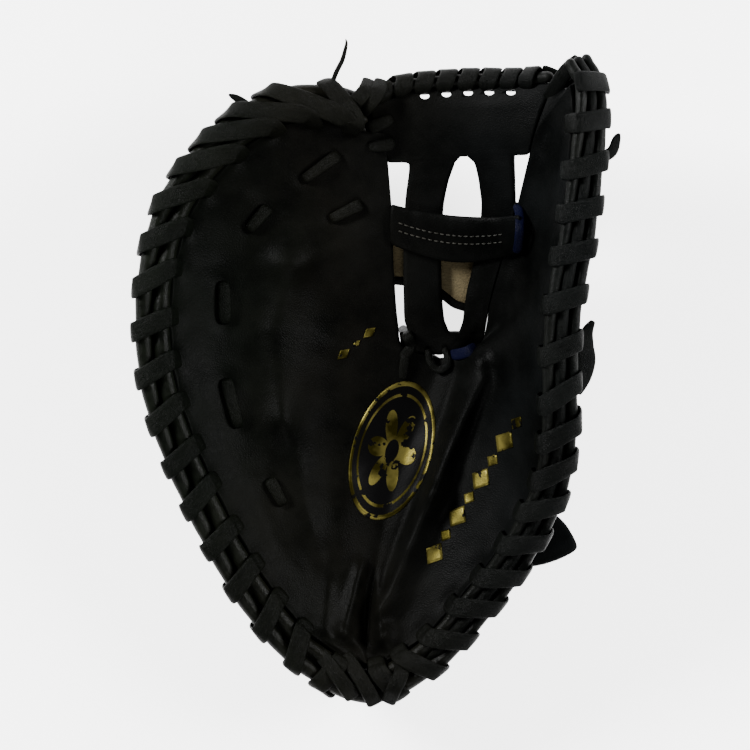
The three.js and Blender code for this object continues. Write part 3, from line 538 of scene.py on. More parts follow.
def stationAt(length):
    above = max(next((i for i, value in enumerate(rimLengths) if value >= length), rimSteps), 1)
    share = (length - rimLengths[above - 1]) / (rimLengths[above] - rimLengths[above - 1])
    return (above - 1 + share) / rimSteps * rimSpan


laceRuns = {
    "finger": {"first": 0.25, "last": heelStation - 0.1, "wraps": lace["fingerWraps"]},
    "thumb": {"first": heelStation + 0.35, "last": lastStation + 0.05, "wraps": lace["thumbWraps"]},
}
# How far along the rim each corner of a wrap lies, in wraps, and to which side of it; two corners
# lie on top at the palm's side, and the next one is the hole in the palm.
wrapAdvance = [0, 0.03, 0.13, 0.17, 0.25, 0.36, 0.84, 0.92]
wrapSide = [-1, -0.7, 0.7, 1, 1.2, 1, -1, -1.2]
wrapTop, wrapHole = (2, 3), 4
wrapChance = {"slip": 0.035, "lean": 0.05}

# How far the wraps slant at a station, in wraps: the outer end lies ahead of the inner one.
slantRows = [
    [0, -0.8], [1, -1.1], [2.6, -1], [4, -0.66], [6.5, -0.36], [10, -0.2], [13, -0.26],
    [15, -0.3], [17, -0.44], [20, -0.42], [22, -0.28], [27, -0.22], [29, -0.1], [31, -0.05],
]


# The rows on both sides of a place in a table, and the share of the way between them.
def rowsAt(rows, place, key):
    after = next((i for i, row in enumerate(rows) if row[key] >= place and i), len(rows) - 1)
    a, b = rows[after - 1], rows[after]
    return a, b, (place - a[key]) / (b[key] - a[key])


def slantAt(station):
    a, b, share = rowsAt(slantRows, station, 0)
    return mix(a[1], b[1], share)


def wrapPoint(station, corner):
    seat = palmSeat(station)
    back = backSeat(station)
    stand = roll["radius"] + lace["rollGap"] + lace["thickness"] / 2
    shoulder = stand * math.tan(math.pi / 8)
    beside = roll["pitch"] / 2 + stand
    passing = lace["thickness"] / 2 + lace["wallGap"]
    setback, rearSetback = lace["holeSetback"], lace["rearSetback"]
    corners = [
        Vector((beside, shoulder)),
        Vector((roll["pitch"] / 2 + shoulder, stand)),
        Vector((-roll["pitch"] / 2 - shoulder, stand)),
        Vector((-beside, shoulder)),
        seat["front"] + seat["away"] * setback + seat["skin"] * (passing - lace["sinkInPalm"]),
        seat["rear"] + seat["away"] * rearSetback - seat["skin"] * (passing + lace["underPalm"]),
        back["rear"] + back["away"] * rearSetback - back["skin"] * (passing + lace["underBack"]),
        back["front"] + back["away"] * setback + back["skin"] * passing,
    ]
    return corners[corner]


# Corner points and facings of a wound lace, and where it goes through the palm.
def woundLace(run):
    begin, end = lengthAt(run["first"]), lengthAt(run["last"])
    turns = len(wrapAdvance)
    points, facings, holes = [], [], []
    for i in range(run["wraps"] * turns - wrapHole):
        corner = i % turns
        if corner == 0:
            slip = random.uniform(-wrapChance["slip"], wrapChance["slip"])
            lean = random.uniform(-wrapChance["lean"], wrapChance["lean"])
        share = (i // turns + wrapAdvance[corner] + (slip if i > turns else 0)) / run["wraps"]
        station = stationAt(mix(begin, end, clamp(share)))
        if i < (run["wraps"] - 1) * turns:
            share += (slantAt(station) + lean) * wrapSide[corner] / run["wraps"]
            station = stationAt(mix(begin, end, clamp(share)))
        rim = rimFrame(station)
        place = wrapPoint(station, corner)
        if corner in wrapTop:
            # a steep wrap lies on its neighbour
            place = place + Vector((0, lace["thickness"] * clamp(-2 * slantAt(station) - 1)))
        points.append(inFrame(rim, place))
        facings.append((rim["out"] * place.x / 2 + rim["high"] * place.y).normalized())
        if corner == wrapHole:
            holes.append(points[-1])
    return points, facings, holes


wound = {name: woundLace(run) for name, run in laceRuns.items()}


# How many wraps of lace lie before a station, counted to where the rolls are squeezed.
def phaseAt(station):
    run = laceRuns["finger" if station <= heelStation else "thumb"]
    begin, end = lengthAt(run["first"]), lengthAt(run["last"])
    return (lengthAt(station) - begin) / (end - begin) * run["wraps"] - roll["squeezeLate"]


# Short laces on the palm and at the web, as shares; from and to are their feet.
palmTieRows = [
    [-0.275, 0.635, -0.135, 0.71],
    [-0.16, 0.515, -0.04, 0.56],
    [-0.505, 0.48, -0.425, 0.55],
    [-0.61, 0.32, -0.605, 0.195],
    [-0.6, 0.02, -0.55, -0.125],
    [-0.42, -0.29, -0.365, -0.365],
]
webTieRows = {
    5: [0.095, 0.745, 0.0, 0.735],
    6: [0.085, 0.82, -0.005, 0.79],
}


# Palm: a padded wall with rolls, folds and dimples where the laces go in. Its first and last rows,
# at the finger tips and the thumb's tip, get their thickness straight down.
palmSettings = {
    "rowsPerStation": 6, "columns": 36, "levels": 1, "topRows": 4,
    "dimpleDepth": 2.4 * mm, "dimpleRadius": 4.2 * mm, "tieDepth": 0.8, "tieRadius": 0.9,
}


def makePalm():
    s = palmSettings
    columns = [i / (s["columns"] - 1) for i in range(s["columns"])]
    stations = [i / s["rowsPerStation"] for i in range(lastStation * s["rowsPerStation"] + 1)]
    points = []
    shared = {}
    rows = []
    for number, station in enumerate(stations):
        mirrored = min(number, len(stations) - 1 - number)
        row = []
        for column, point in enumerate(palmSpoke(station, columns)):
            if column or mirrored < edgeSpan * s["rowsPerStation"]:
                row.append(len(points))
                points.append(point)
                continue
            if mirrored not in shared:
                shared[mirrored] = len(points)
                points.append(point)
            row.append(shared[mirrored])
        rows.append(row)
    quads = gridQuads(rows)
    normals = skinNormals(points, quads)
    flip = -1 if normals[rows[0][len(rows[0]) // 2]].z < 0 else 1
    normals = [normal * flip for normal in normals]
    for row in rows[:s["topRows"]] + rows[-s["topRows"]:]:
        for index in row:
            normals[index] = up.copy()
    rear = [point - normal * wall["palm"] for point, normal in zip(points, normals)]
    for station, row in zip(stations, rows):
        rear[row[-1]] = inFrame(rimFrame(station), palmSeat(station)["rear"])
    holes = wound["finger"][2] + wound["thumb"][2]
    flats = [(x * halfWidth, y * halfLength) for row in palmTieRows for x, y in (row[:2], row[2:])]
    tree = kdtree.KDTree(len(holes))
    for i, hole in enumerate(holes):
        tree.insert(hole, i)
    tree.balance()
    for i, point in enumerate(points):
        away = tree.find(point)[2]
        near = min(math.hypot(point.x - x, point.y - y) for x, y in flats)
        dent = math.exp(-(away / s["dimpleRadius"]) ** 2)
        dent += s["tieDepth"] * math.exp(-(near / (s["tieRadius"] * s["dimpleRadius"])) ** 2)
        points[i] = point - normals[i] * s["dimpleDepth"] * dent
    allPoints, faces, rims = wallOf(points, rear, quads)
    piece = makePiece("padded_palm", allPoints, faces, "leather", ["palm"], s["levels"], rims=rims)
    return piece, BVHTree.FromPolygons(points, quads)


palmPiece, palmTree = makePalm()
print("palm made")


# Backs: flat where the mitt rests, with grooves between the finger stalls.
backColumns = table(
    ["across", "drop", "rise"],
    [[0, 0, 0], [0.03, 0.3, 0], [0.12, 0.65, 0], [0.28, 0.93, 0], [0.5, 1, 0], [0.8, 1, 0.08], [1, 1, 1]],
)
openingStations = edgeSpan + 2
backSettings = {
    "rowsPerStation": 4, "columnSteps": 4, "levels": 1,
    "grooveFrom": 0.25, "grooveTo": 0.55, "grooveEnd": 0.12,
}
grooveRows = table(
    ["fromX", "fromY", "toX", "toY", "width", "height"],
    [
        [-0.2, -0.16, -0.08, 0.7, 2.6, 2.2],
        [-0.34, -0.2, -0.36, 0.72, 2.6, 2.2],
        [-0.48, -0.3, -0.62, 0.55, 2.6, 2.2],
        [0.5, -0.3, 0.68, 0.5, 2.6, 2.2],
        [0.42, -0.7, 0.62, -0.45, 2.2, 1.6],
        [-0.3, -0.72, -0.55, -0.5, 2.2, 1.6],
    ],
)


# The back's inner line: under the palm's edges, down to the opening and round it.
def backInner(station):
    mirrored = min(station, lastStation - station)
    side = -1 if station <= heelStation else 1
    low = rimValue("low", station) * thumbHeight
    if mirrored < edgeSpan:
        edge = innerPoint(station)
        edge.z = max(edge.z - wall["palm"] - wall["stallGap"] - wall["back"], low)
        return edge
    top = Vector((opening["x"], opening["y"] + opening["length"] / 2, low))
    if mirrored <= openingStations:
        crotch = innerPoint(edgeSpan)
        share = (mirrored - edgeSpan) / (openingStations - edgeSpan)
        lift = (1 - share) * (crotch.z - wall["palm"] - wall["stallGap"] - wall["back"] - low)
        point = crotch.lerp(top, share)
        point.z = low + lift * (1 - share)
        return point + Vector((side * opening["seamGap"] / 2, 0, 0))
    turn = math.pi * (mirrored - openingStations) / (heelStation - openingStations)
    return Vector((
        opening["x"] + side * max(math.sin(turn) * opening["width"] / 2, opening["seamGap"] / 2),
        opening["y"] + math.cos(turn) * opening["length"] / 2,
        low,
    ))


def backSpoke(station, side, shares):
    s = backSettings
    rim = rimFrame(station)
    start = inFrame(rim, backSeat(station)["front"])
    end = backInner(station)
    low = min(rimValue("low", station) * thumbHeight, end.z)
    if station == heelStation:
        start.x += side * opening["seamGap"] / 2
        end.x = opening["x"] + side * opening["seamGap"] / 2
    points = []
    for share in shares:
        place = share * (len(backColumns) - 1)
        below = min(int(place), len(backColumns) - 2)
        a, b = backColumns[below], backColumns[below + 1]
        across, drop, rise = (mix(a[name], b[name], place - below) for name in ("across", "drop", "rise"))
        point = start.lerp(end, across)
        point.z = mix(mix(start.z, low, drop), end.z, rise)
        fade = smoothStep(share, s["grooveFrom"], s["grooveTo"]) * smoothStep(1 - share, 0, s["grooveEnd"])
        point.z += reliefAt(point.x, point.y, grooveRows) * fade
        points.append(point)
    return points


def makeBack(name, first, last, side, node):
    s = backSettings
    count = (len(backColumns) - 1) * s["columnSteps"]
    shares = [i / count for i in range(count + 1)]
    rowCount = (last - first) * s["rowsPerStation"]
    stations = [first + i / s["rowsPerStation"] for i in range(rowCount + 1)]
    points = []
    rows = []
    for station in stations:
        spoke = backSpoke(station, side, shares)
        rows.append(list(range(len(points), len(points) + len(spoke))))
        points.extend(spoke)
    quads = gridQuads(rows)
    normals = skinNormals(points, quads)
    flatPoint = rows[len(rows) // 2][-1 - s["columnSteps"]]
    inward = 1 if normals[flatPoint].z > 0 else -1
    rear = [point + normal * inward * wall["back"] for point, normal in zip(points, normals)]
    for station, row in zip(stations, rows):
        rear[row[0]] = inFrame(rimFrame(station), backSeat(station)["rear"])
        if station == heelStation:
            for index in row:
                rear[index].x = points[index].x
        if min(station, lastStation - station) >= edgeSpan:
            rear[row[-1]] = points[row[-1]] + up * wall["back"]
    allPoints, faces, rims = wallOf(points, rear, quads)
    return makePiece(name, allPoints, faces, "leather", [node], s["levels"], rims=rims)


makeBack("back_of_fingers", 0, heelStation, -1, "finger_back")
makeBack("back_of_thumb", heelStation, lastStation, 1, "thumb_back")
print("backs made")


# Rim rolls: round welts that swell between the wraps of the lace. Round the thumb they are thinner
# and a third one lies between them; the outer one sinks onto the edge of the back there.
thumbRolls = {
    "radius": 3 * mm, "offset": 6 * mm, "lift": 1.3 * mm, "sink": 2.5 * mm,
    "from": heelStation + 0.5, "to": heelStation + 2, "leaning": 24.5, "tipped": 27,
}

# The rolls end straight at the thumb's tip, where the rim itself turns to the web.
rollTip = {"from": 28.85, "reach": 11 * mm}
rollEnd = {"steps": 4, "cap": 0.25}
rollWobble = {"perStation": 2.2, "size": 0.04}


def rollFrame(station):
    if station <= rollTip["from"]:
        return rimFrame(station)
    rim = dict(rimFrame(rollTip["from"]))
    beyond = (station - rollTip["from"]) / (rimSpan - rollTip["from"])
    rim["centre"] = rim["centre"] + rim["along"] * beyond * rollTip["reach"]
    return rim


def makeRoll(name, side, nodes, first=0):
    steps = (rimSpan - first) * roll["stepsPerStation"]
    frames = []
    radii = []
    for i in range(steps + 1):
        station = mix(first, rimSpan, i / steps)
        rim = rollFrame(station)
        thin = smoothStep(station, thumbRolls["from"], thumbRolls["to"])
        offset = mix(roll["pitch"] / 2, thumbRolls["offset"], thin)
        sink = thumbRolls["sink"] * (1 - smoothStep(station, thumbRolls["leaning"], thumbRolls["tipped"]))
        lift = thumbRolls["lift"] - (sink if side == 1 else 0)
        frames.append((inFrame(rim, (side * offset, thin * lift)), rim["out"], rim["high"]))
        phase = phaseAt(min(station, lastStation - 0.01)) + roll["squeezeLead"] * side
        squeeze = math.cos(2 * math.pi * phase)
        cap = max(roundEnd(min(i, steps - i) / rollEnd["steps"]), rollEnd["cap"])
        wobble = noise.noise(Vector((station * rollWobble["perStation"], side, 0))) * rollWobble["size"]
        radius = mix(roll["radius"], thumbRolls["radius"], thin)
        radii.append(radius * (1 - roll["bulge"] * 0.5 * (1 + squeeze) + wobble) * cap)

    def section(share):
        return roundSection(radii[round(share * steps)], roll["sides"])

    makeBar(name, frames, section, "roll_leather", nodes)


makeRoll("palm_side_roll", -1, ["palm_roll"])
makeRoll("back_side_roll", 1, ["back_roll"])
makeRoll("middle_thumb_roll", 0, [], heelStation + 1)
print("rolls made")


# Rim laces: flat rawhide that narrows a little at its two holes and varies in width.
rimLace = {
    "steps": 3, "thin": 0.85, "waists": [4.5, 6.5], "waistLength": 0.9, "waist": 0.34,
    "wave": 0.07, "waves": 60,
}


def makeRimLace(name, key, node):
    s = rimLace
    points, facings, holes = wound[key]
    frames = stripFrames(*rounded(points, facings, s["steps"]))

    def section(share):
        corner = share * (len(points) - 1) % len(wrapAdvance)
        waist = sum(math.exp(-((corner - place) / s["waistLength"]) ** 2) for place in s["waists"])
        wave = s["wave"] * noise.noise(Vector((share * s["waves"], len(points), 0)))
        return stripSection(lace["width"] * (1 - s["waist"] * waist + wave), lace["thickness"] * s["thin"])

    makeBar(name, frames, section, "lace_leather", [node])


makeRimLace("finger_side_lace", "finger", "finger_rim_lace")
makeRimLace("thumb_side_lace", "thumb", "thumb_rim_lace")
print("rim laces made")


# Web: a panel with open windows between the lobes; posts and gaps in shares of the way across.
webRows = table(
    ["y", "postA", "gapA", "gapB", "postB", "open"],
    [
        [0.9, 0.15, 0.38, 0.63, 0.86, []],
        [0.86, 0.15, 0.38, 0.63, 0.86, []],
        [0.79, 0.15, 0.42, 0.62, 0.9, []],
        [0.735, 0.15, 0.5, 0.6, 0.93, []],
        [0.707, 0.155, 0.53, 0.58, 0.9, ["middle", "right"]],
        [0.688, 0.155, 0.485, 0.63, 0.905, ["left", "middle", "right"]],
        [0.636, 0.136, 0.445, 0.675, 0.935, ["left", "middle", "right"]],
        [0.562, 0.106, 0.416, 0.726, 0.98, ["left", "middle"]],
        [0.435, 0.09, 0.418, 0.765, 0.97, ["left", "middle"]],
        [0.296, 0.08, 0.476, 0.744, 0.95, ["left", "middle"]],
        [0.204, 0.07, 0.522, 0.74, 0.92, ["left", "middle"]],
        [0.168, 0.1, 0.58, 0.7, 0.9, []],
        [0.144, 0.15, 0.5, 0.7, 0.88, []],
        [0.12, 0.2, 0.45, 0.65, 0.85, []],
        [0.1, 0.2, 0.45, 0.65, 0.85, []],
    ],
)
# The web's left side follows the finger edge, and its top turns to the fingers.
webTopRows = [
    [-0.02, 0.9, 0.555],
    [-0.005, 0.85, 0.55],
    [0.02, 0.775, 0.53],
]
webLeft = [placed(*row) for row in webTopRows] + fingerEdge[1:]
webRollRows = [
    [0.01, 0.895, 0.575],
    [0.17, 0.925, 0.56],
    [0.4, 0.937, 0.61],
    [0.6, 0.935, 0.69],
    [0.75, 0.94, 0.815],
]
webRollPoints = [placed(*row) for row in webRollRows]
web = {
    "gap": 0.25 * mm, "sag": 5 * mm, "sagFrom": 0.14, "sagTo": 0.4, "depth": wall["palm"] / 2,
    "crown": 0.8 * mm, "rowSteps": 4, "columnSteps": 4, "levels": 1,
}
webRoll = {"radius": 3.2 * mm, "sides": 12, "steps": 48, "endSteps": 2, "cap": 0.3}
edgeSteps = 120


def edgeAt(points, y):
    line = [curvePoint(points, i / edgeSteps) for i in range(edgeSteps + 1)]
    near = min(line, key=lambda point: abs(point.y - y))
    return Vector((near.x, y, near.z))


def webPoint(y, across, ahead=0.0):
    left, right = edgeAt(webLeft, y), edgeAt(thumbEdge, y)
    fade = smoothStep(y, web["sagFrom"] * halfLength, web["sagTo"] * halfLength)
    sag = web["sag"] * 4 * across * (1 - across) * fade
    x = mix(left.x + web["gap"], right.x - web["gap"], across)
    return Vector((x, y, mix(left.z, right.z, across) - web["depth"] - sag + ahead))


def makeWebPanel():
    s = web
    bands = ["left", "", "middle", "", "right"]
    levels = []
    for row, after in zip(webRows, webRows[1:]):
        for step in range(s["rowSteps"]):
            levels.append((row, after, step / s["rowSteps"]))
    levels.append((webRows[-2], webRows[-1], 1))
    points = []
    for number, (row, after, share) in enumerate(levels):
        value = {name: mix(row[name], after[name], share) for name in ("y", "postA", "gapA", "gapB", "postB")}
        bounds = [0, value["postA"], value["gapA"], value["gapB"], value["postB"], 1]
        for band, window in enumerate(bands):
            for step in range(s["columnSteps"] + (band == len(bands) - 1)):
                across = mix(bounds[band], bounds[band + 1], step / s["columnSteps"])
                point = webPoint(value["y"] * halfLength, across)
                if number < s["rowSteps"]:
                    top = curvePoint(webRollPoints, across)
                    top.y -= webRoll["radius"] + clearance
                    point = top.lerp(point, number / s["rowSteps"])
                crown = 0 if window else s["crown"] * math.sin(math.pi * step / s["columnSteps"])
                points.append(point + up * crown)
    width = len(bands) * s["columnSteps"] + 1
    quads = []
    for number in range(len(levels) - 1):
        row = levels[number][0]
        for band, window in enumerate(bands):
            if window in row["open"]:
                continue
            for step in range(s["columnSteps"]):
                a = number * width + band * s["columnSteps"] + step
                quads.append([a, a + width, a + width + 1, a + 1])
    normals = skinNormals(points, quads)
    half = wall["web"] / 2
    used = sorted({index for quad in quads for index in quad})
    place = {index: i for i, index in enumerate(used)}
    front = [points[i] + normals[i] * half for i in used]
    rear = [points[i] - normals[i] * half for i in used]
    allPoints, faces, rims = wallOf(front, rear, [[place[index] for index in quad] for quad in quads])
    piece = makePiece("laced_web", allPoints, faces, "leather", ["web_panel"], s["levels"], rims=rims)
    cutHoles(piece, webLaceHoles())
    return piece


# Round holes through a piece; its modifiers are applied with the cut.
def cutHoles(piece, holes):
    work = bmesh.new()
    for hole in holes:
        spread = Matrix.Translation(hole + shift) @ Matrix.Diagonal((webLace["holeStretch"], 1, 1, 1))
        bmesh.ops.create_cone(
            work, cap_ends=True, segments=webLace["holeSides"], radius1=webLace["holeRadius"],
            radius2=webLace["holeRadius"], depth=webLace["holeDepth"], matrix=spread,
        )
    mesh = bpy.data.meshes.new("cutter")
    work.to_mesh(mesh)
    work.free()
    cutter = bpy.data.objects.new("cutter", mesh)
    bpy.context.scene.collection.objects.link(cutter)
    cut = piece.modifiers.new("Holes", "BOOLEAN")
    cut.operation = "DIFFERENCE"
    cut.solver = "EXACT"
    cut.object = cutter
    shaped = bpy.data.meshes.new_from_object(piece.evaluated_get(bpy.context.evaluated_depsgraph_get()))
    piece.modifiers.clear()
    piece.data = shaped
    bpy.data.objects.remove(cutter)
    bpy.data.meshes.remove(mesh)


def webRollFrame(share):
    place = curveAtLength(webRollPoints, share)
    along = curveTangent(webRollPoints, place)
    out = (Vector((0, 1, 0)) - along * along.y).normalized()
    high = along.cross(out).normalized()
    return {"centre": curvePoint(webRollPoints, place), "along": along, "out": out, "high": high}


# Spiral lace round the web's roll, with the turn of each of a wrap's corners; the first holes are
# covered by the fingers' laces.
webLace = {
    "thickness": 1.6 * mm, "width": 9.2 * mm, "wraps": 8, "first": 0.55, "spare": 0.6, "steps": 3,
    "rollGap": 3.5 * clearance, "turn": [0, -0.12, -0.35, -0.3, 0.3, 0.8], "over": 0.95, "beside": 0.5,
    "waistAt": 2.5, "waistLength": 0.6, "waist": 0.5,
    "holeCorner": 2, "holeDrop": 4.4 * mm, "holeBelow": 1.9 * mm, "holeAside": 1.2 * mm,
    "holeRadius": 1.5 * mm, "holeStretch": 1.5, "holeDepth": 30 * mm, "holeSides": 20, "covered": 2,
}


def webShare(index):
    s = webLace
    corners = len(s["turn"])
    return (index // corners + s["turn"][index % corners] + s["first"]) / (s["wraps"] + s["spare"])


def webLaceHoles():
    s = webLace
    corners = len(s["turn"])
    below = -s["holeDrop"] - s["holeBelow"]
    holes = []
    for i in range(s["holeCorner"] + s["covered"] * corners, (s["wraps"] - 1) * corners, corners):
        holes.append(inFrame(webRollFrame(webShare(i)), (below, 0)) + Vector((s["holeAside"], 0, 0)))
    return holes


def makeWebLace():
    s = webLace
    stand = webRoll["radius"] + s["rollGap"] + s["thickness"] / 2
    passing = wall["web"] / 2 + s["thickness"] / 2 + clearance
    over, beside = stand * s["over"], stand * s["beside"]
    drop = s["holeDrop"]
    corners = [(over, beside), (0, stand), (-drop, passing), (-drop, -passing), (0, -stand), (over, -beside)]
    count = s["wraps"] * len(corners)
    points, facings = [], []
    for i in range(count):
        rim = webRollFrame(webShare(i))
        place = corners[i % len(corners)]
        points.append(inFrame(rim, place))
        facings.append((rim["out"] * place[0] + rim["high"] * place[1]).normalized())

    def section(share):
        corner = share * (count - 1) % len(corners)
        waist = math.exp(-((corner - s["waistAt"]) / s["waistLength"]) ** 2)
        return stripSection(s["width"] * (1 - s["waist"] * waist), s["thickness"])

    frames = stripFrames(*rounded(points, facings, s["steps"]))
    makeBar("web_spiral_lace", frames, section, "lace_leather", ["web_top_lace"])


def makeWebRoll():
    s = webRoll
    frames = []
    for i in range(s["steps"] + 1):
        rim = webRollFrame(i / s["steps"])
        frames.append((rim["centre"], rim["out"], rim["high"]))

    def section(share):
        cap = max(roundEnd(min(share, 1 - share) * s["steps"] / s["endSteps"]), s["cap"])
        return roundSection(s["radius"] * cap, s["sides"])

    makeBar("web_edge_roll", frames, section, "roll_leather", ["web_top_roll"])


webPiece = makeWebPanel()
makeWebLace()
makeWebRoll()
print("web made")


# Bar across the front of the posts, and the flesh-side bar with its bound edge behind them.
crossbar = {
    "leftY": 0.5, "rightY": 0.47, "width": 21 * mm, "swell": 4 * mm, "thickness": 3.2 * mm, "crown": 0.3,
    "steps": 30, "from": -0.03, "to": 1.1, "sag": 5 * mm, "liftFrom": 0.9, "endLift": 4 * mm,
    "ripple": 0.7 * mm, "ripples": 9, "webGap": 4 * mm,
}


def crossbarFrames():
    s = crossbar
    half = s["width"] / 2
    frames = []
    for i in range(s["steps"] + 1):
        share = i / s["steps"]
        across = mix(s["from"], s["to"], share)
        y = mix(s["leftY"], s["rightY"], across) * halfLength - s["sag"] * 4 * share * (1 - share)
        side = webPoint(y + half, across) - webPoint(y - half, across)
        side.x = 0
        side.normalize()
        face = Vector((1, 0, 0)).cross(side)
        ripple = noise.noise(Vector((across * s["ripples"], 0.5, 0))) * s["ripple"]
        lift = s["endLift"] * smoothStep(across, s["liftFrom"], s["to"])
        frames.append((webPoint(y, across, wall["web"] / 2 + s["webGap"] + ripple + lift), side, face))
    return frames


def makeCrossbar():
    def section(share):
        width = crossbar["width"] + crossbar["swell"] * math.sin(math.pi * clamp(share))
        return stripSection(width, crossbar["thickness"], crossbar["crown"])

    makeBar("web_cross_strap", crossbarFrames(), section, "leather", ["web_crossbar"])


backBar = {
    "thickness": 2.4 * mm, "webGap": 2 * mm, "steps": 24, "rows": 8, "from": -0.08, "to": 1.05,
    "binding": 5 * mm, "bindingDrop": 0.3, "bindingSides": 12,
}
backBarRows = table(
    ["across", "top", "bottom"],
    [
        [0.0, 0.5, 0.338],
        [0.12, 0.49, 0.334],
        [0.42, 0.48, 0.31],
        [0.62, 0.47, 0.265],
        [0.8, 0.46, 0.25],
        [1, 0.45, 0.25],
    ],
)


def backBarAt(across):
    a, b, share = rowsAt(backBarRows, across, "across")
    return mix(a["top"], b["top"], share), mix(a["bottom"], b["bottom"], share)


def makeBackBar():
    s = backBar
    behind = wall["web"] / 2 + s["thickness"] / 2 + s["webGap"]
    points, rows, edge = [], [], []
    for i in range(s["steps"] + 1):
        across = mix(s["from"], s["to"], i / s["steps"])
        top, bottom = backBarAt(clamp(across))
        rows.append(list(range(len(points), len(points) + s["rows"] + 1)))
        for j in range(s["rows"] + 1):
            points.append(webPoint(mix(top, bottom, j / s["rows"]) * halfLength, across, -behind))
        edge.append(webPoint(bottom * halfLength - s["binding"] * s["bindingDrop"], across, -behind))
    half = up * s["thickness"] / 2
    front, rear = [point + half for point in points], [point - half for point in points]
    allPoints, faces, rims = wallOf(front, rear, gridQuads(rows))
    makePiece("web_back_strap", allPoints, faces, "flesh_side", ["web_back_bar"], 1, rims=rims)
    section = roundSection(s["binding"] / 2, s["bindingSides"])
    frames = stripFrames(edge, [up] * len(edge))
    makeBar("web_back_binding", frames, lambda share: section, "leather", ["web_bar_binding"])


makeCrossbar()
makeBackBar()
print("web bars made")


# Short flat laces: down a hole, over the leather, down the next hole.
tie = {
    "width": 6 * mm, "thickness": 1.7 * mm, "depth": 3.4 * mm, "rise": 0.7 * mm, "crown": 0.2, "steps": 4,
    "swell": 1.05, "waist": 0.45, "wave": 0.08, "waves": 9, "phase": 900,
    "places": [0, 0.02, 0.22, 0.78, 0.98, 1], "leans": [-1, -0.7, -0.1, 0.1, 0.7, 1],
    "seats": [0, 0.3, 0.7, 1], "aboveWeb": 3 * clearance,
}
webTree = BVHTree.FromObject(webPiece, bpy.context.evaluated_depsgraph_get())


def heightOver(x, y, more=()):
    origin = Vector((x, y, 2 * thumbHeight))
    hits = [palmTree.ray_cast(origin, -up)[0]]
    hits += [tree.ray_cast(origin + shift, -up)[0] for tree in (webTree, *more)]
    return max([hit.z for hit in hits if hit], default=0)


def makeTie(name, row, depth, node):
    s = tie
    begin = Vector((row[0] * halfWidth, row[1] * halfLength, 0))
    end = Vector((row[2] * halfWidth, row[3] * halfLength, 0))
    direction = (end - begin).normalized()
    beside = direction.cross(up) * s["width"] / 2
    heights = []
    for share in s["seats"]:
        places = [begin.lerp(end, share) + beside * side for side in (-1, 0, 1)]
        heights.append(max(heightOver(place.x, place.y) for place in places))
    first, last = heights[0], heights[-1]
    over = [max(heights[i], mix(first, last, s["seats"][i])) + s["rise"] for i in (1, 2)]
    stand = s["thickness"] / 2 + clearance
    points = []
    for share, height in zip(s["places"], [first - depth - stand, first, *over, last, last - depth - stand]):
        place = begin.lerp(end, share)
        place.z = height + stand
        points.append(place)
    facings = [(up * (1 - abs(lean)) + direction * lean).normalized() for lean in s["leans"]]

    def section(share):
        waist = abs(2 * share - 1) ** 3
        wave = s["wave"] * math.sin(s["waves"] * share + begin.x * s["phase"])
        return stripSection(s["width"] * (s["swell"] + wave - s["waist"] * waist), s["thickness"], s["crown"])

    makeBar(name, stripFrames(*rounded(points, facings, s["steps"])), section, "lace_leather", [node])


for number, row in enumerate(palmTieRows, 1):
    makeTie(f"palm_lace_{number}", row, tie["depth"], f"palm_tie_{number}")
for number, row in webTieRows.items():
    makeTie(f"web_lace_{number}", row, -tie["aboveWeb"], f"web_tie_{number}")


# Laces that lie on the leather in a line: shares of half width and half length, and the height over
# the leather in millimetres.
lyingLace = {"steps": 5, "waist": 0.3}
lyingRows = table(
    ["number", "width", "places"],
    [
        [1, 6, [[0.13, 0.185, 0.2], [0.15, 0.16, 2.4], [0.17, 0.125, 3], [0.15, 0.1, 1.4], [0.13, 0.085, 0]]],
        [2, 5.5, [[0.14, 0.105, 0.3], [0.145, 0.085, 1.6], [0.14, 0.055, 1.4], [0.135, 0.02, 0.2]]],
        [3, 4.5, [
            [0.24, 0.115, 0.3], [0.25, 0.075, 1.8], [0.285, 0.05, 2.2], [0.325, 0.07, 1.8], [0.31, 0.12, 0.3],
        ]],
        [4, 6, [[0.335, 0.1, 0.3], [0.365, 0.098, 1.4], [0.41, 0.108, 1.2], [0.44, 0.125, 0.3]]],
        [7, 5, [
            [0.6, 0.555, 0.3], [0.615, 0.53, 1.8], [0.615, 0.48, 2.2], [0.61, 0.43, 1.6], [0.6, 0.41, 0.2],
        ]],
    ],
)
crossbarTree = BVHTree.FromObject(pieces["web_cross_strap"], bpy.context.evaluated_depsgraph_get())


def makeLyingLace(row):
    points = []
    for x, y, lift in row["places"]:
        height = heightOver(x * halfWidth, y * halfLength, [crossbarTree])
        points.append(Vector((x * halfWidth, y * halfLength, height + tie["thickness"] / 2 + lift * mm)))
    frames = stripFrames(*rounded(points, [up] * len(points), lyingLace["steps"]))

    def section(share):
        waist = lyingLace["waist"] * abs(2 * share - 1) ** 4
        return stripSection(row["width"] * mm * (1 - waist), tie["thickness"], tie["crown"])

    makeBar(f"web_lace_{row['number']}", frames, section, "lace_leather", [f"web_tie_{row['number']}"])


for row in lyingRows:
    makeLyingLace(row)
print("short laces made")


# Binding round the wrist opening.
binding = {"thickness": 3 * mm, "steps": 72, "sides": 12, "edgeGap": 2 * clearance}


def makeOpeningBinding():
    points, facings = [], []
    for i in range(binding["steps"]):
        station = openingStations + 2 * (heelStation - openingStations) * i / binding["steps"]
        rim = backInner(station)
        inward = Vector((opening["x"] - rim.x, opening["y"] - rim.y, 0)).normalized()
        point = rim + inward * (binding["thickness"] / 2 + binding["edgeGap"])
        point.z += binding["thickness"] / 2
        points.append(point)
        facings.append(up)
    section = roundSection(binding["thickness"] / 2, binding["sides"])
    frames = stripFrames(points, facings, True)
    makeBar("wrist_binding", frames, lambda share: section, "roll_leather", ["opening_binding"], 0, True)


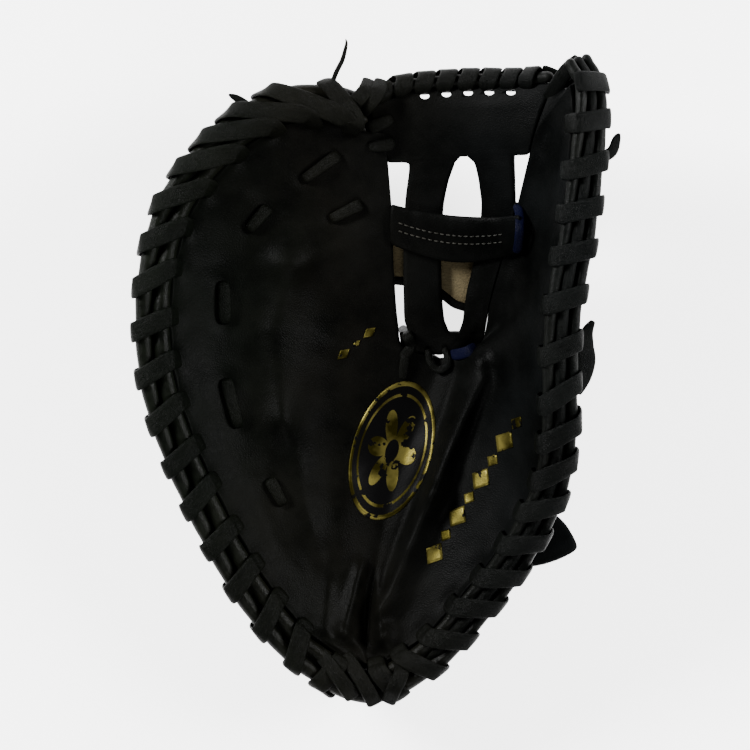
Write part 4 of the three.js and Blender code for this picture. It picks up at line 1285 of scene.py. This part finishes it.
# Wrist strap, from inside the finger back out through a slot in the thumb back.
strap = {
    "width": 31 * mm, "thickness": 3 * mm, "backGap": 3 * clearance, "crown": 0.2, "steps": 6,
    "tip": 0.25, "tipShare": 1 / 14,
}
strapRows = [
    [-0.43, -0.44, 0],
    [-0.3, -0.44, 0],
    [0.05, -0.44, 0],
    [0.4, -0.44, 0],
    [0.5, -0.45, 0.018],
    [0.6, -0.455, 0.054],
    [0.7, -0.475, 0.107],
    [0.74, -0.51, 0.15],
    [0.76, -0.55, 0.172],
]


def makeStrap():
    s = strap
    bed = up * (wall["back"] + s["backGap"] + s["thickness"] / 2)
    points = [placed(*row) + bed for row in strapRows]

    def section(share):
        end = mix(s["tip"], 1, roundEnd((1 - share) / s["tipShare"]))
        return stripSection(s["width"] * end, s["thickness"], s["crown"])

    frames = stripFrames(*rounded(points, [up] * len(points), s["steps"]))
    makeBar("strap_of_wrist", frames, section, "leather", ["wrist_strap"])


makeOpeningBinding()
makeStrap()
print("wrist side made")


# Free ends of the rim laces: each starts at a station of the rim and bends through places given
# outwards, along the rim and upwards from there, in millimetres.
laceEnd = {"turn": 0.8, "thin": 0.8, "taper": 0.75, "steps": 6}
laceEndRows = table(
    ["station", "width", "places"],
    [
        [0.84, 2.8, [
            [-3, 1, -1], [4, -0.5, 1], [10, -2.5, 2.5], [15, -3.2, 4], [19, -3.4, 5], [21, -2.6, 5],
        ]],
        [2.78, 4.6, [[-3, -2, -2], [2, 0.5, -1.5], [6, 3, -1]]],
        [25.95, 6, [[-3.5, 0, -3], [1.5, 4, -4], [3.2, 10, -5], [4.4, 13, -5]]],
        [21.15, 11, [[-5, -4, -6], [-0.5, 3, -8], [1.8, 11, -9], [1.4, 18, -9], [2, 25, -8], [5, 31, -7]]],
    ],
)


def makeLaceEnd(number, row):
    s = laceEnd
    rim = rimFrame(row["station"])
    side = rim["along"].cross(up).normalized()
    root = rim["centre"] + side * (roll["pitch"] / 2 + roll["radius"] + lace["thickness"])
    points = []
    for out, along, high in row["places"]:
        points.append(root + side * out * mm + rim["along"] * along * mm + up * high * mm)
    facing = side.lerp(up, s["turn"]).normalized()

    def section(share):
        return stripSection(row["width"] * mm * (1 - s["taper"] * share ** 3), s["thin"] * lace["thickness"])

    frames = stripFrames(*rounded(points, [facing] * len(points), s["steps"]))
    makeBar(f"free_lace_{number}", frames, section, "lace_leather", [f"lace_end_{number}"])


for number, row in enumerate(laceEndRows, 1):
    makeLaceEnd(number, row)
print("lace ends made")


# Small laces that show at the heel and where the web's roll meets the lobes; the second one at the
# web stands in for the thumb's leather corner. Points in shares of half width, half length and
# thumb height.
extraLace = {"width": 8 * mm, "thickness": 1.6 * mm, "crown": 0.2, "steps": 5}
extraLaceRows = {
    "heel_lace_1": [[-0.11, -0.83, 0.42], [-0.07, -0.87, 0.46], [-0.01, -0.94, 0.475], [0.02, -0.985, 0.44]],
    "heel_lace_2": [[-0.22, -0.82, 0.43], [-0.17, -0.86, 0.47], [-0.11, -0.92, 0.48], [-0.07, -0.965, 0.44]],
    "heel_lace_3": [[0.12, -0.84, 0.44], [0.13, -0.88, 0.48], [0.1, -0.93, 0.49], [0.07, -0.98, 0.44]],
    "web_end_lace_1": [[-0.05, 0.835, 0.57], [-0.01, 0.86, 0.635], [0.03, 0.9, 0.64], [0.05, 0.94, 0.585]],
    "web_end_lace_2": [[0.73, 0.868, 0.8], [0.766, 0.915, 0.87], [0.803, 0.955, 0.9], [0.858, 0.987, 0.9]],
    "web_end_lace_3": [[-0.1, 0.84, 0.57], [-0.06, 0.87, 0.645], [-0.02, 0.905, 0.645], [0.0, 0.94, 0.59]],
}


def makeExtraLaces():
    s = extraLace
    section = stripSection(s["width"], s["thickness"], s["crown"])
    for name, row in extraLaceRows.items():
        points = [placed(*place) for place in row]
        frames = stripFrames(*rounded(points, [up] * len(points), s["steps"]))
        makeBar(name, frames, lambda share: section, "lace_leather")


makeExtraLaces()
print("extra laces made")


# Small thread stitches in two lines along the crossbar: each is a low capsule lying on the leather.
thread = {
    "length": 2.2 * mm, "gap": 0.9 * mm, "radius": 0.34 * mm, "sides": 6, "parts": [0, 0.15, 0.5, 0.85, 1],
    "radii": [0.3, 0.85, 1, 0.85, 0.3], "lift": 0.2 * mm, "arch": 0.25 * mm, "lines": [-1.6 * mm, 2.4 * mm],
    "rise": 0.62, "skipFirst": 2, "skipLast": 3,
}


def stitchesAlong(points, normals, allPoints, allFaces):
    s = thread
    lengths = lengthsAlong(points)
    stride = s["length"] + s["gap"]

    def section(share):
        return roundSection(s["radius"] * s["radii"][round(share * (len(s["radii"]) - 1))], s["sides"])

    for number in range(int(lengths[-1] / stride)):
        places = []
        for part in s["parts"]:
            target = number * stride + part * s["length"]
            step = next((i for i in range(1, len(points)) if lengths[i] >= target), len(points) - 1)
            share = (target - lengths[step - 1]) / (lengths[step] - lengths[step - 1])
            place = points[step - 1].lerp(points[step], share)
            places.append(place + normals[step] * (s["lift"] + s["arch"] * math.sin(math.pi * part)))
        stitchPoints, faces, uvs = barOf(stripFrames(places, [normals[step]] * len(places)), section)
        allFaces.extend([[index + len(allPoints) for index in face] for face in faces])
        allPoints.extend(stitchPoints)


def crossbarStitches():
    s = thread
    frames = crossbarFrames()[s["skipFirst"]:-s["skipLast"]]
    rise = crossbar["thickness"] * s["rise"]
    points, faces = [], []
    for offset in s["lines"]:
        line = [origin + side * offset + face * rise for origin, side, face in frames]
        stitchesAlong(line, [face for origin, side, face in frames], points, faces)
    makePiece("crossbar_stitches", points, faces, "lace_leather")


crossbarStitches()
print("stitches made")


# Gold foil pressed onto the palm: a plain oval medallion and rows of small lozenges.
palmSurface = BVHTree.FromObject(palmPiece, bpy.context.evaluated_depsgraph_get())


foil = {"top": 0.32 * mm, "bottom": 0.1 * mm}


def onPalm(x, y, lift):
    place, normal = palmSurface.ray_cast(Vector((x, y, 2 * thumbHeight)) + shift, -up)[:2]
    return place - shift + (normal if normal.z > 0 else -normal) * lift


def foilPatch(centreX, centreY, halfAcross, halfAlong, turn, outline, rings, spokes):
    points, uvs = [], []
    angle = math.radians(turn)
    for lift in (foil["top"], foil["bottom"]):
        for ring in range(rings + 1):
            for spoke in range(spokes):
                a, b = outline(2 * math.pi * spoke / spokes)
                a, b = a * ring / rings, b * ring / rings
                across, along = a * halfAcross, b * halfAlong
                x = centreX + across * math.cos(angle) + along * math.sin(angle)
                y = centreY - across * math.sin(angle) + along * math.cos(angle)
                points.append(onPalm(x, y, lift))
                uvs.append((a, b))
    layer = (rings + 1) * spokes
    faces = []
    for ring in range(rings):
        inner, outer = ring * spokes, (ring + 1) * spokes
        for spoke in range(spokes):
            following = (spoke + 1) % spokes
            quad = [inner + spoke, inner + following, outer + following, outer + spoke]
            faces.append(quad)
            faces.append([index + layer for index in reversed(quad)])
    for spoke in range(spokes):
        a, b = rings * spokes + spoke, rings * spokes + (spoke + 1) % spokes
        faces.append([b, a, a + layer, b + layer])
    return points, faces, uvs


def oval(angle):
    return math.cos(angle), math.sin(angle)


def lozenge(angle):
    reach = abs(math.cos(angle)) + abs(math.sin(angle))
    return math.cos(angle) / reach, math.sin(angle) / reach


def makeFoil(name, patches):
    points, faces, uvs = [], [], []
    for patch in patches:
        patchPoints, patchFaces, patchUvs = foilPatch(*patch)
        faces.extend([[index + len(points) for index in face] for face in patchFaces])
        points.extend(patchPoints)
        uvs.extend(patchUvs)
    piece = makePiece(name, points, faces, "leather", (), 0, uvs)
    work = bmesh.new()
    work.from_mesh(piece.data)
    bmesh.ops.remove_doubles(work, verts=work.verts, dist=1e-7)
    work.to_mesh(piece.data)
    work.free()


medallion = {
    "x": 10.8 * mm, "y": -32.5 * mm, "halfAcross": 20 * mm, "halfAlong": 36 * mm, "turn": 17,
    "rings": 18, "spokes": 64,
}
goldMarks = {"smaller": 0.6, "rings": 3, "spokes": 16}
thumbMarks = {
    "x": 32 * mm, "y": -84 * mm, "stepX": 5.8 * mm, "stepY": 9.4 * mm, "count": 8, "turn": 32,
    "halfAcross": 5 * mm, "halfAlong": 6.4 * mm,
}
fingerMarks = {
    "x": -13.5 * mm, "y": 16 * mm, "stepX": 6.5 * mm, "stepY": 5.4 * mm, "count": 3, "turn": 50,
    "halfAcross": 2.4 * mm, "halfAlong": 4.2 * mm,
}


# A row of lozenges, every second one smaller.
def markRow(s):
    patches = []
    for i in range(s["count"]):
        size = goldMarks["smaller"] if i % 2 else 1
        x, y = s["x"] + i * s["stepX"], s["y"] + i * s["stepY"]
        shape = (s["halfAcross"] * size, s["halfAlong"] * size, s["turn"], lozenge)
        patches.append((x, y, *shape, goldMarks["rings"], goldMarks["spokes"]))
    return patches


def medallionPatch(s):
    return s["x"], s["y"], s["halfAcross"], s["halfAlong"], s["turn"], oval, s["rings"], s["spokes"]


makeFoil("palm_medallion", [medallionPatch(medallion)])
makeFoil("thumb_gold_marks", markRow(thumbMarks))
makeFoil("finger_gold_marks", markRow(fingerMarks))
print("foil made")


# A shader node with its settings and the values of its sockets.
def addNode(nodes, kind, values=None, **settings):
    node = nodes.new("ShaderNode" + kind)
    for name, value in settings.items():
        setattr(node, name, value)
    for socket, value in (values or {}).items():
        node.inputs[socket].default_value = value
    return node


# A colour ramp from its places and colours.
def addRamp(nodes, stops):
    ramp = addNode(nodes, "ValToRGB")
    elements = ramp.color_ramp.elements
    for element, (place, colour) in zip(elements, (stops[0], stops[-1])):
        element.position = place
        element.color = (*colour, 1)
    for place, colour in stops[1:-1]:
        elements.new(place).color = (*colour, 1)
    return ramp


def startGroup(name, given, made):
    group = bpy.data.node_groups.new(name, "ShaderNodeTree")
    for direction, sockets in (("INPUT", given), ("OUTPUT", made)):
        for socket, kind in sockets.items():
            group.interface.new_socket(name=socket, in_out=direction, socket_type="NodeSocket" + kind)
    nodes = group.nodes
    return group, nodes, group.links, nodes.new("NodeGroupInput"), nodes.new("NodeGroupOutput")


# A group of nodes for leather grain: small cells with fine noise between them, broad patches of
# wear, and a tint that drifts from olive over brown to blue from the fingers to the thumb; the olive
# is the leather's tone, the brightening brown in the middle is a painted highlight on the pocket's
# bulge, and the blue on the thumb side is painted sheen of the light falling there.
grainSettings = {
    "warp": {"Scale": 220, "Detail": 3}, "warpBy": 0.0016, "cellEdge": 0.35,
    "fine": {"Scale": 1800, "Detail": 4}, "fineHeight": 0.4,
    "patches": {"Scale": 26, "Detail": 6, "Roughness": 0.62},
    "drift": {"Scale": 14}, "driftBy": 0.12, "tintFrom": -0.03, "tintTo": 0.15,
    # Painted light in the tint: the middle stop brightens to brown as a painted highlight on the pocket, the
    # last stop turns the thumb side blue as painted sheen; the first, olive, is the leather's tone.
    "tonesAndSheen": [(0, (0.85, 1.0, 0.8)), (0.42, (1.25, 1.08, 0.92)), (1, (0.86, 0.93, 1.08))],
}


def grainGroup():
    s = grainSettings
    outputs = {"Height": "Float", "Patches": "Float", "Tint": "Color"}
    group, nodes, links, given, made = startGroup("LeatherGrainAndSheen", {"Scale": "Float"}, outputs)
    place = addNode(nodes, "TexCoord").outputs["Object"]
    warp = addNode(nodes, "TexNoise", s["warp"])
    shiftBy = addNode(nodes, "VectorMath", {1: (s["warpBy"],) * 3}, operation="MULTIPLY_ADD")
    cells = addNode(nodes, "TexVoronoi", feature="DISTANCE_TO_EDGE")
    bumps = addNode(nodes, "MapRange", {"From Max": s["cellEdge"]})
    fine = addNode(nodes, "TexNoise", s["fine"])
    both = addNode(nodes, "Math", {1: s["fineHeight"]}, operation="MULTIPLY_ADD")
    patches = addNode(nodes, "TexNoise", s["patches"])
    drift = addNode(nodes, "TexNoise", s["drift"])
    parts = addNode(nodes, "SeparateXYZ")
    sway = addNode(nodes, "Math", {1: s["driftBy"]}, operation="MULTIPLY_ADD")
    across = addNode(nodes, "MapRange", {"From Min": s["tintFrom"], "From Max": s["tintTo"]})
    tonesAndSheen = addRamp(nodes, s["tonesAndSheen"])
    for texture in (warp, fine, patches, drift):
        links.new(place, texture.inputs["Vector"])
    links.new(warp.outputs["Color"], shiftBy.inputs[0])
    links.new(place, shiftBy.inputs[2])
    links.new(shiftBy.outputs[0], cells.inputs["Vector"])
    links.new(given.outputs["Scale"], cells.inputs["Scale"])
    links.new(cells.outputs["Distance"], bumps.inputs["Value"])
    links.new(fine.outputs["Fac"], both.inputs[0])
    links.new(bumps.outputs["Result"], both.inputs[2])
    links.new(both.outputs[0], made.inputs["Height"])
    links.new(patches.outputs["Fac"], made.inputs["Patches"])
    links.new(place, parts.inputs[0])
    links.new(drift.outputs["Fac"], sway.inputs[0])
    links.new(parts.outputs[0], sway.inputs[2])
    links.new(sway.outputs[0], across.inputs["Value"])
    links.new(across.outputs["Result"], tonesAndSheen.inputs["Fac"])
    links.new(tonesAndSheen.outputs["Color"], made.inputs["Tint"])
    return group


# A group of nodes for fibres along a strip or wrinkles across a roll: noise stretched on its UV map.
def fibreGroup():
    group, nodes, links, given, made = startGroup("LeatherFibres", {"Stretch": "Vector"}, {"Fibres": "Float"})
    place = addNode(nodes, "TexCoord").outputs["UV"]
    spread = addNode(nodes, "VectorMath", operation="MULTIPLY")
    lines = addNode(nodes, "TexNoise", {"Scale": 1, "Detail": 4, "Roughness": 0.6})
    links.new(place, spread.inputs[0])
    links.new(given.outputs["Stretch"], spread.inputs[1])
    links.new(spread.outputs[0], lines.inputs["Vector"])
    links.new(lines.outputs["Fac"], made.inputs["Fibres"])
    return group


# A group of nodes for fine cracks: thin dark lines between long cells.
def crackGroup():
    group, nodes, links, given, made = startGroup("FineCracks", {"Stretch": "Vector"}, {"Cracks": "Float"})
    place = addNode(nodes, "TexCoord").outputs["Object"]
    spread = addNode(nodes, "VectorMath", operation="MULTIPLY")
    cells = addNode(nodes, "TexVoronoi", {"Scale": 1}, feature="DISTANCE_TO_EDGE")
    lines = addNode(nodes, "MapRange", {"From Max": 0.07, "To Min": 0.6})
    links.new(place, spread.inputs[0])
    links.new(given.outputs["Stretch"], spread.inputs[1])
    links.new(spread.outputs[0], cells.inputs["Vector"])
    links.new(cells.outputs["Distance"], lines.inputs["Value"])
    links.new(lines.outputs["Result"], made.inputs["Cracks"])
    return group


grain = grainGroup()
fibres = fibreGroup()
cracks = crackGroup()


def newMaterial(name):
    material = bpy.data.materials.new(name)
    material.use_nodes = True
    nodes = material.node_tree.nodes
    return material, nodes, material.node_tree.links, nodes["Principled BSDF"]


# Leather: dark, with grain, patches of wear, uneven gloss and the tint with its painted highlight and
# sheen; laces and rolls have fibres too, and the flesh side has cracks.
leatherPatches = {"dark": 0.32, "light": 0.72, "glossFrom": 0.3, "glossTo": 0.7, "bumpDistance": 0.0003}


def leatherMaterial(name, s):
    p = leatherPatches
    material, nodes, links, shader = newMaterial(name)
    texture = addNode(nodes, "Group", {"Scale": s["grainScale"]}, node_tree=grain)
    patches, height = texture.outputs["Patches"], texture.outputs["Height"]
    if "fibres" in s:
        streaks = addNode(nodes, "Group", {"Stretch": s["fibres"]}, node_tree=fibres)
        blended = addNode(nodes, "Mix", {"Factor": 0.5})
        raised = addNode(nodes, "Math", {1: s["fibreHeight"]}, operation="MULTIPLY_ADD")
        links.new(patches, blended.inputs["A"])
        links.new(streaks.outputs["Fibres"], blended.inputs["B"])
        links.new(streaks.outputs["Fibres"], raised.inputs[0])
        links.new(height, raised.inputs[2])
        patches, height = blended.outputs["Result"], raised.outputs[0]
    colour = addRamp(nodes, [(p["dark"], s["dark"]), (p["light"], s["light"])])
    # Multiplying by the tint paints a brown highlight over the pocket and a blue sheen on the thumb side into
    # the leather's colour.
    tonedWithSheen = addNode(nodes, "Mix", {"Factor": s.get("tint", 1)}, data_type="RGBA", blend_type="MULTIPLY")
    links.new(patches, colour.inputs["Fac"])
    links.new(colour.outputs["Color"], tonedWithSheen.inputs["A"])
    links.new(texture.outputs["Tint"], tonedWithSheen.inputs["B"])
    base = tonedWithSheen.outputs["Result"]
    if "cracks" in s:
        lines = addNode(nodes, "Group", {"Stretch": s["cracks"]}, node_tree=cracks)
        cracked = addNode(nodes, "Mix", {"Factor": 1}, data_type="RGBA", blend_type="MULTIPLY")
        links.new(base, cracked.inputs["A"])
        links.new(lines.outputs["Cracks"], cracked.inputs["B"])
        base = cracked.outputs["Result"]
    gloss = addNode(nodes, "MapRange", {
        "From Min": p["glossFrom"], "From Max": p["glossTo"], "To Min": s["roughness"][0],
        "To Max": s["roughness"][1],
    })
    bump = addNode(nodes, "Bump", {"Strength": s["bump"], "Distance": p["bumpDistance"]})
    links.new(base, shader.inputs["Base Color"])
    links.new(patches, gloss.inputs["Value"])
    links.new(gloss.outputs["Result"], shader.inputs["Roughness"])
    links.new(height, bump.inputs["Height"])
    links.new(bump.outputs["Normal"], shader.inputs["Normal"])
    shader.inputs["Specular IOR Level"].default_value = s["specular"]
    return material


# Foil: black gloss with a gold rim, an inner ring and a rosette, worn in places; the marks are gold
# all over.
foilLook = {
    "petals": 3, "petalLength": 0.42, "petalStart": 0.2, "heart": 0.16, "rim": 0.93, "ring": 0.8,
    "ringWidth": 0.022, "black": (0.0015, 0.0015, 0.0015, 1), "metallic": 0.6, "roughness": 0.42,
    "specular": 0.02, "wear": {"Scale": 160, "Detail": 5}, "tone": {"Scale": 60, "Detail": 3},
    "gold": [(0.42, (0.012, 0.01, 0.001)), (0.62, (0.1, 0.084, 0.02))],
    "glitter": {"Scale": 1500}, "bump": {"Strength": 0.25, "Distance": 0.0002},
}


def foilMaterial(name, wornBelow, patterned):
    s = foilLook
    material, nodes, links, shader = newMaterial(name)

    def maths(operation, a, b=None):
        node = addNode(nodes, "Math", operation=operation)
        for socket, value in zip(node.inputs, (a, b)):
            if isinstance(value, (int, float)):
                socket.default_value = value
            elif value is not None:
                links.new(value, socket)
        return node.outputs[0]

    place = addNode(nodes, "TexCoord")
    wear = addNode(nodes, "TexNoise", s["wear"])
    tone = addNode(nodes, "TexNoise", s["tone"])
    glitter = addNode(nodes, "TexVoronoi", s["glitter"])
    for texture in (wear, tone, glitter):
        links.new(place.outputs["Object"], texture.inputs["Vector"])
    shown = maths("GREATER_THAN", wear.outputs["Fac"], wornBelow)
    if patterned:
        parts = addNode(nodes, "SeparateXYZ")
        links.new(place.outputs["UV"], parts.inputs[0])
        x, y = parts.outputs[0], parts.outputs[1]
        radius = maths("SQRT", maths("ADD", maths("MULTIPLY", x, x), maths("MULTIPLY", y, y)))
        waves = maths("ABSOLUTE", maths("COSINE", maths("MULTIPLY", maths("ARCTAN2", y, x), s["petals"])))
        petals = maths("ADD", maths("MULTIPLY", waves, s["petalLength"]), s["petalStart"])
        heart = maths("GREATER_THAN", radius, s["heart"])
        rosette = maths("MULTIPLY", maths("LESS_THAN", radius, petals), heart)
        rim = maths("GREATER_THAN", radius, s["rim"])
        ring = maths("LESS_THAN", maths("ABSOLUTE", maths("SUBTRACT", radius, s["ring"])), s["ringWidth"])
        shown = maths("MULTIPLY", maths("MAXIMUM", maths("MAXIMUM", rim, ring), rosette), shown)
    gold = addRamp(nodes, s["gold"])
    colour = addNode(nodes, "Mix", {"A": s["black"]}, data_type="RGBA")
    bump = addNode(nodes, "Bump", s["bump"])
    links.new(tone.outputs["Fac"], gold.inputs["Fac"])
    links.new(shown, colour.inputs["Factor"])
    links.new(gold.outputs["Color"], colour.inputs["B"])
    links.new(colour.outputs["Result"], shader.inputs["Base Color"])
    links.new(maths("MULTIPLY", shown, s["metallic"]), shader.inputs["Metallic"])
    links.new(glitter.outputs["Distance"], bump.inputs["Height"])
    links.new(bump.outputs["Normal"], shader.inputs["Normal"])
    shader.inputs["Roughness"].default_value = s["roughness"]
    shader.inputs["Specular IOR Level"].default_value = s["specular"]
    return material


materials = {
    "leather": leatherMaterial("PalmLeather", {
        "dark": (0.0005, 0.0006, 0.0005), "light": (0.0026, 0.0028, 0.0025), "roughness": (0.38, 0.58),
        "bump": 0.28, "specular": 0.018, "grainScale": 850,
    }),
    "roll_leather": leatherMaterial("RollLeather", {
        "dark": (0.0008, 0.0009, 0.0007), "light": (0.0042, 0.0046, 0.0035), "roughness": (0.28, 0.48),
        "bump": 0.3, "specular": 0.045, "grainScale": 1100, "fibres": (260, 3, 1), "fibreHeight": 0.8,
    }),
    "lace_leather": leatherMaterial("LaceLeather", {
        "dark": (0.0005, 0.0006, 0.0005), "light": (0.0026, 0.003, 0.0023), "roughness": (0.34, 0.54),
        "bump": 0.5, "specular": 0.03, "grainScale": 1300, "fibres": (90, 26, 1), "fibreHeight": 1.8,
    }),
    "flesh_side": leatherMaterial("FleshSide", {
        "dark": (0.03, 0.022, 0.009), "light": (0.085, 0.07, 0.038), "roughness": (0.8, 0.95),
        "bump": 0.6, "specular": 0.1, "grainScale": 600, "cracks": (190, 900, 300), "tint": 0.3,
    }),
    "blue_lace": leatherMaterial("BlueBlackLace", {
        "dark": (0.0008, 0.001, 0.0035), "light": (0.0025, 0.003, 0.014), "roughness": (0.4, 0.6),
        "bump": 0.45, "specular": 0.03, "grainScale": 1300, "fibres": (90, 26, 1), "fibreHeight": 1.4,
    }),
    "thread": leatherMaterial("Thread", {
        "dark": (0.01, 0.01, 0.007), "light": (0.03, 0.03, 0.022), "roughness": (0.55, 0.7),
        "bump": 0.5, "specular": 0.3, "grainScale": 2600,
    }),
    "medallion": foilMaterial("MedallionFoil", 0.4, True),
    "marks": foilMaterial("GoldMarks", 0.42, False),
}

# Pieces whose look isn't that of their slot: two blue-black laces, foil, thread, and the middle roll,
# which is as dark as the laces.
otherLooks = {
    "web_lace_4": "blue_lace", "web_lace_7": "blue_lace", "palm_medallion": "medallion",
    "thumb_gold_marks": "marks", "finger_gold_marks": "marks", "crossbar_stitches": "thread",
    "middle_thumb_roll": "lace_leather",
}
for name, piece in pieces.items():
    piece.data.materials.append(materials[otherLooks.get(name, slots[name])])
print("materials made")


# Plain pale floor, soft light and the camera straight above the mitt, as in the photograph.
studio = {
    "field": 375 * mm, "fieldHeight": 50 * mm, "cameraHeight": 2.5, "viewX": 2.25 * mm, "viewY": 5.5 * mm,
    "sensor": 36, "farthest": 20, "floor": 4, "floorTones": [(0, (0.9,) * 3), (1, (0.93,) * 3)],
    "floorNoise": 3, "floorGlow": 2.8, "worldLight": 0.3, "aim": (0, 0, 0.05),
}
lights = {
    "key": {"place": (-1.6, 0.9, 1.2), "size": 0.7, "power": 150},
    "fill": {"place": (1.7, 0.4, 1.2), "size": 1.0, "power": 110},
    "low": {"place": (0.2, -1.8, 1.4), "size": 1.0, "power": 30},
}


def makeStage():
    work = bmesh.new()
    bmesh.ops.create_grid(work, x_segments=1, y_segments=1, size=studio["floor"])
    mesh = bpy.data.meshes.new("floor")
    work.to_mesh(mesh)
    work.free()
    floor = bpy.data.objects.new("floor", mesh)
    bpy.context.scene.collection.objects.link(floor)
    paper, nodes, links, shader = newMaterial("Paper")
    texture = addNode(nodes, "TexNoise", {"Scale": studio["floorNoise"]})
    tone = addRamp(nodes, studio["floorTones"])
    links.new(texture.outputs["Fac"], tone.inputs["Fac"])
    links.new(tone.outputs["Color"], shader.inputs["Base Color"])
    shader.inputs["Roughness"].default_value = 0.9
    shader.inputs["Specular IOR Level"].default_value = 0
    shader.inputs["Emission Color"].default_value = (1, 1, 1, 1)
    shader.inputs["Emission Strength"].default_value = studio["floorGlow"]
    mesh.materials.append(paper)


def makeLight(name, place, size, power):
    data = bpy.data.lights.new(name, "AREA")
    data.shape = "DISK"
    data.size = size
    data.energy = power
    light = bpy.data.objects.new(name, data)
    light.location = place
    light.rotation_euler = (Vector(studio["aim"]) - Vector(place)).to_track_quat("-Z", "Y").to_euler()
    bpy.context.scene.collection.objects.link(light)


def makeCamera():
    data = bpy.data.cameras.new("camera")
    data.sensor_width = studio["sensor"]
    data.lens = studio["sensor"] * (studio["cameraHeight"] - studio["fieldHeight"]) / studio["field"]
    data.clip_end = studio["farthest"]
    camera = bpy.data.objects.new("camera", data)
    camera.location = (studio["viewX"] + shift.x, studio["viewY"] + shift.y, studio["cameraHeight"])
    bpy.context.scene.collection.objects.link(camera)
    bpy.context.scene.camera = camera


def makeWorld():
    world = bpy.data.worlds.new("studio")
    bpy.context.scene.world = world
    world.use_nodes = True
    background = world.node_tree.nodes["Background"]
    background.inputs["Color"].default_value = (1, 1, 1, 1)
    background.inputs["Strength"].default_value = studio["worldLight"]


makeStage()
for name, light in lights.items():
    makeLight(name, **light)
makeCamera()
makeWorld()
print("stage made")
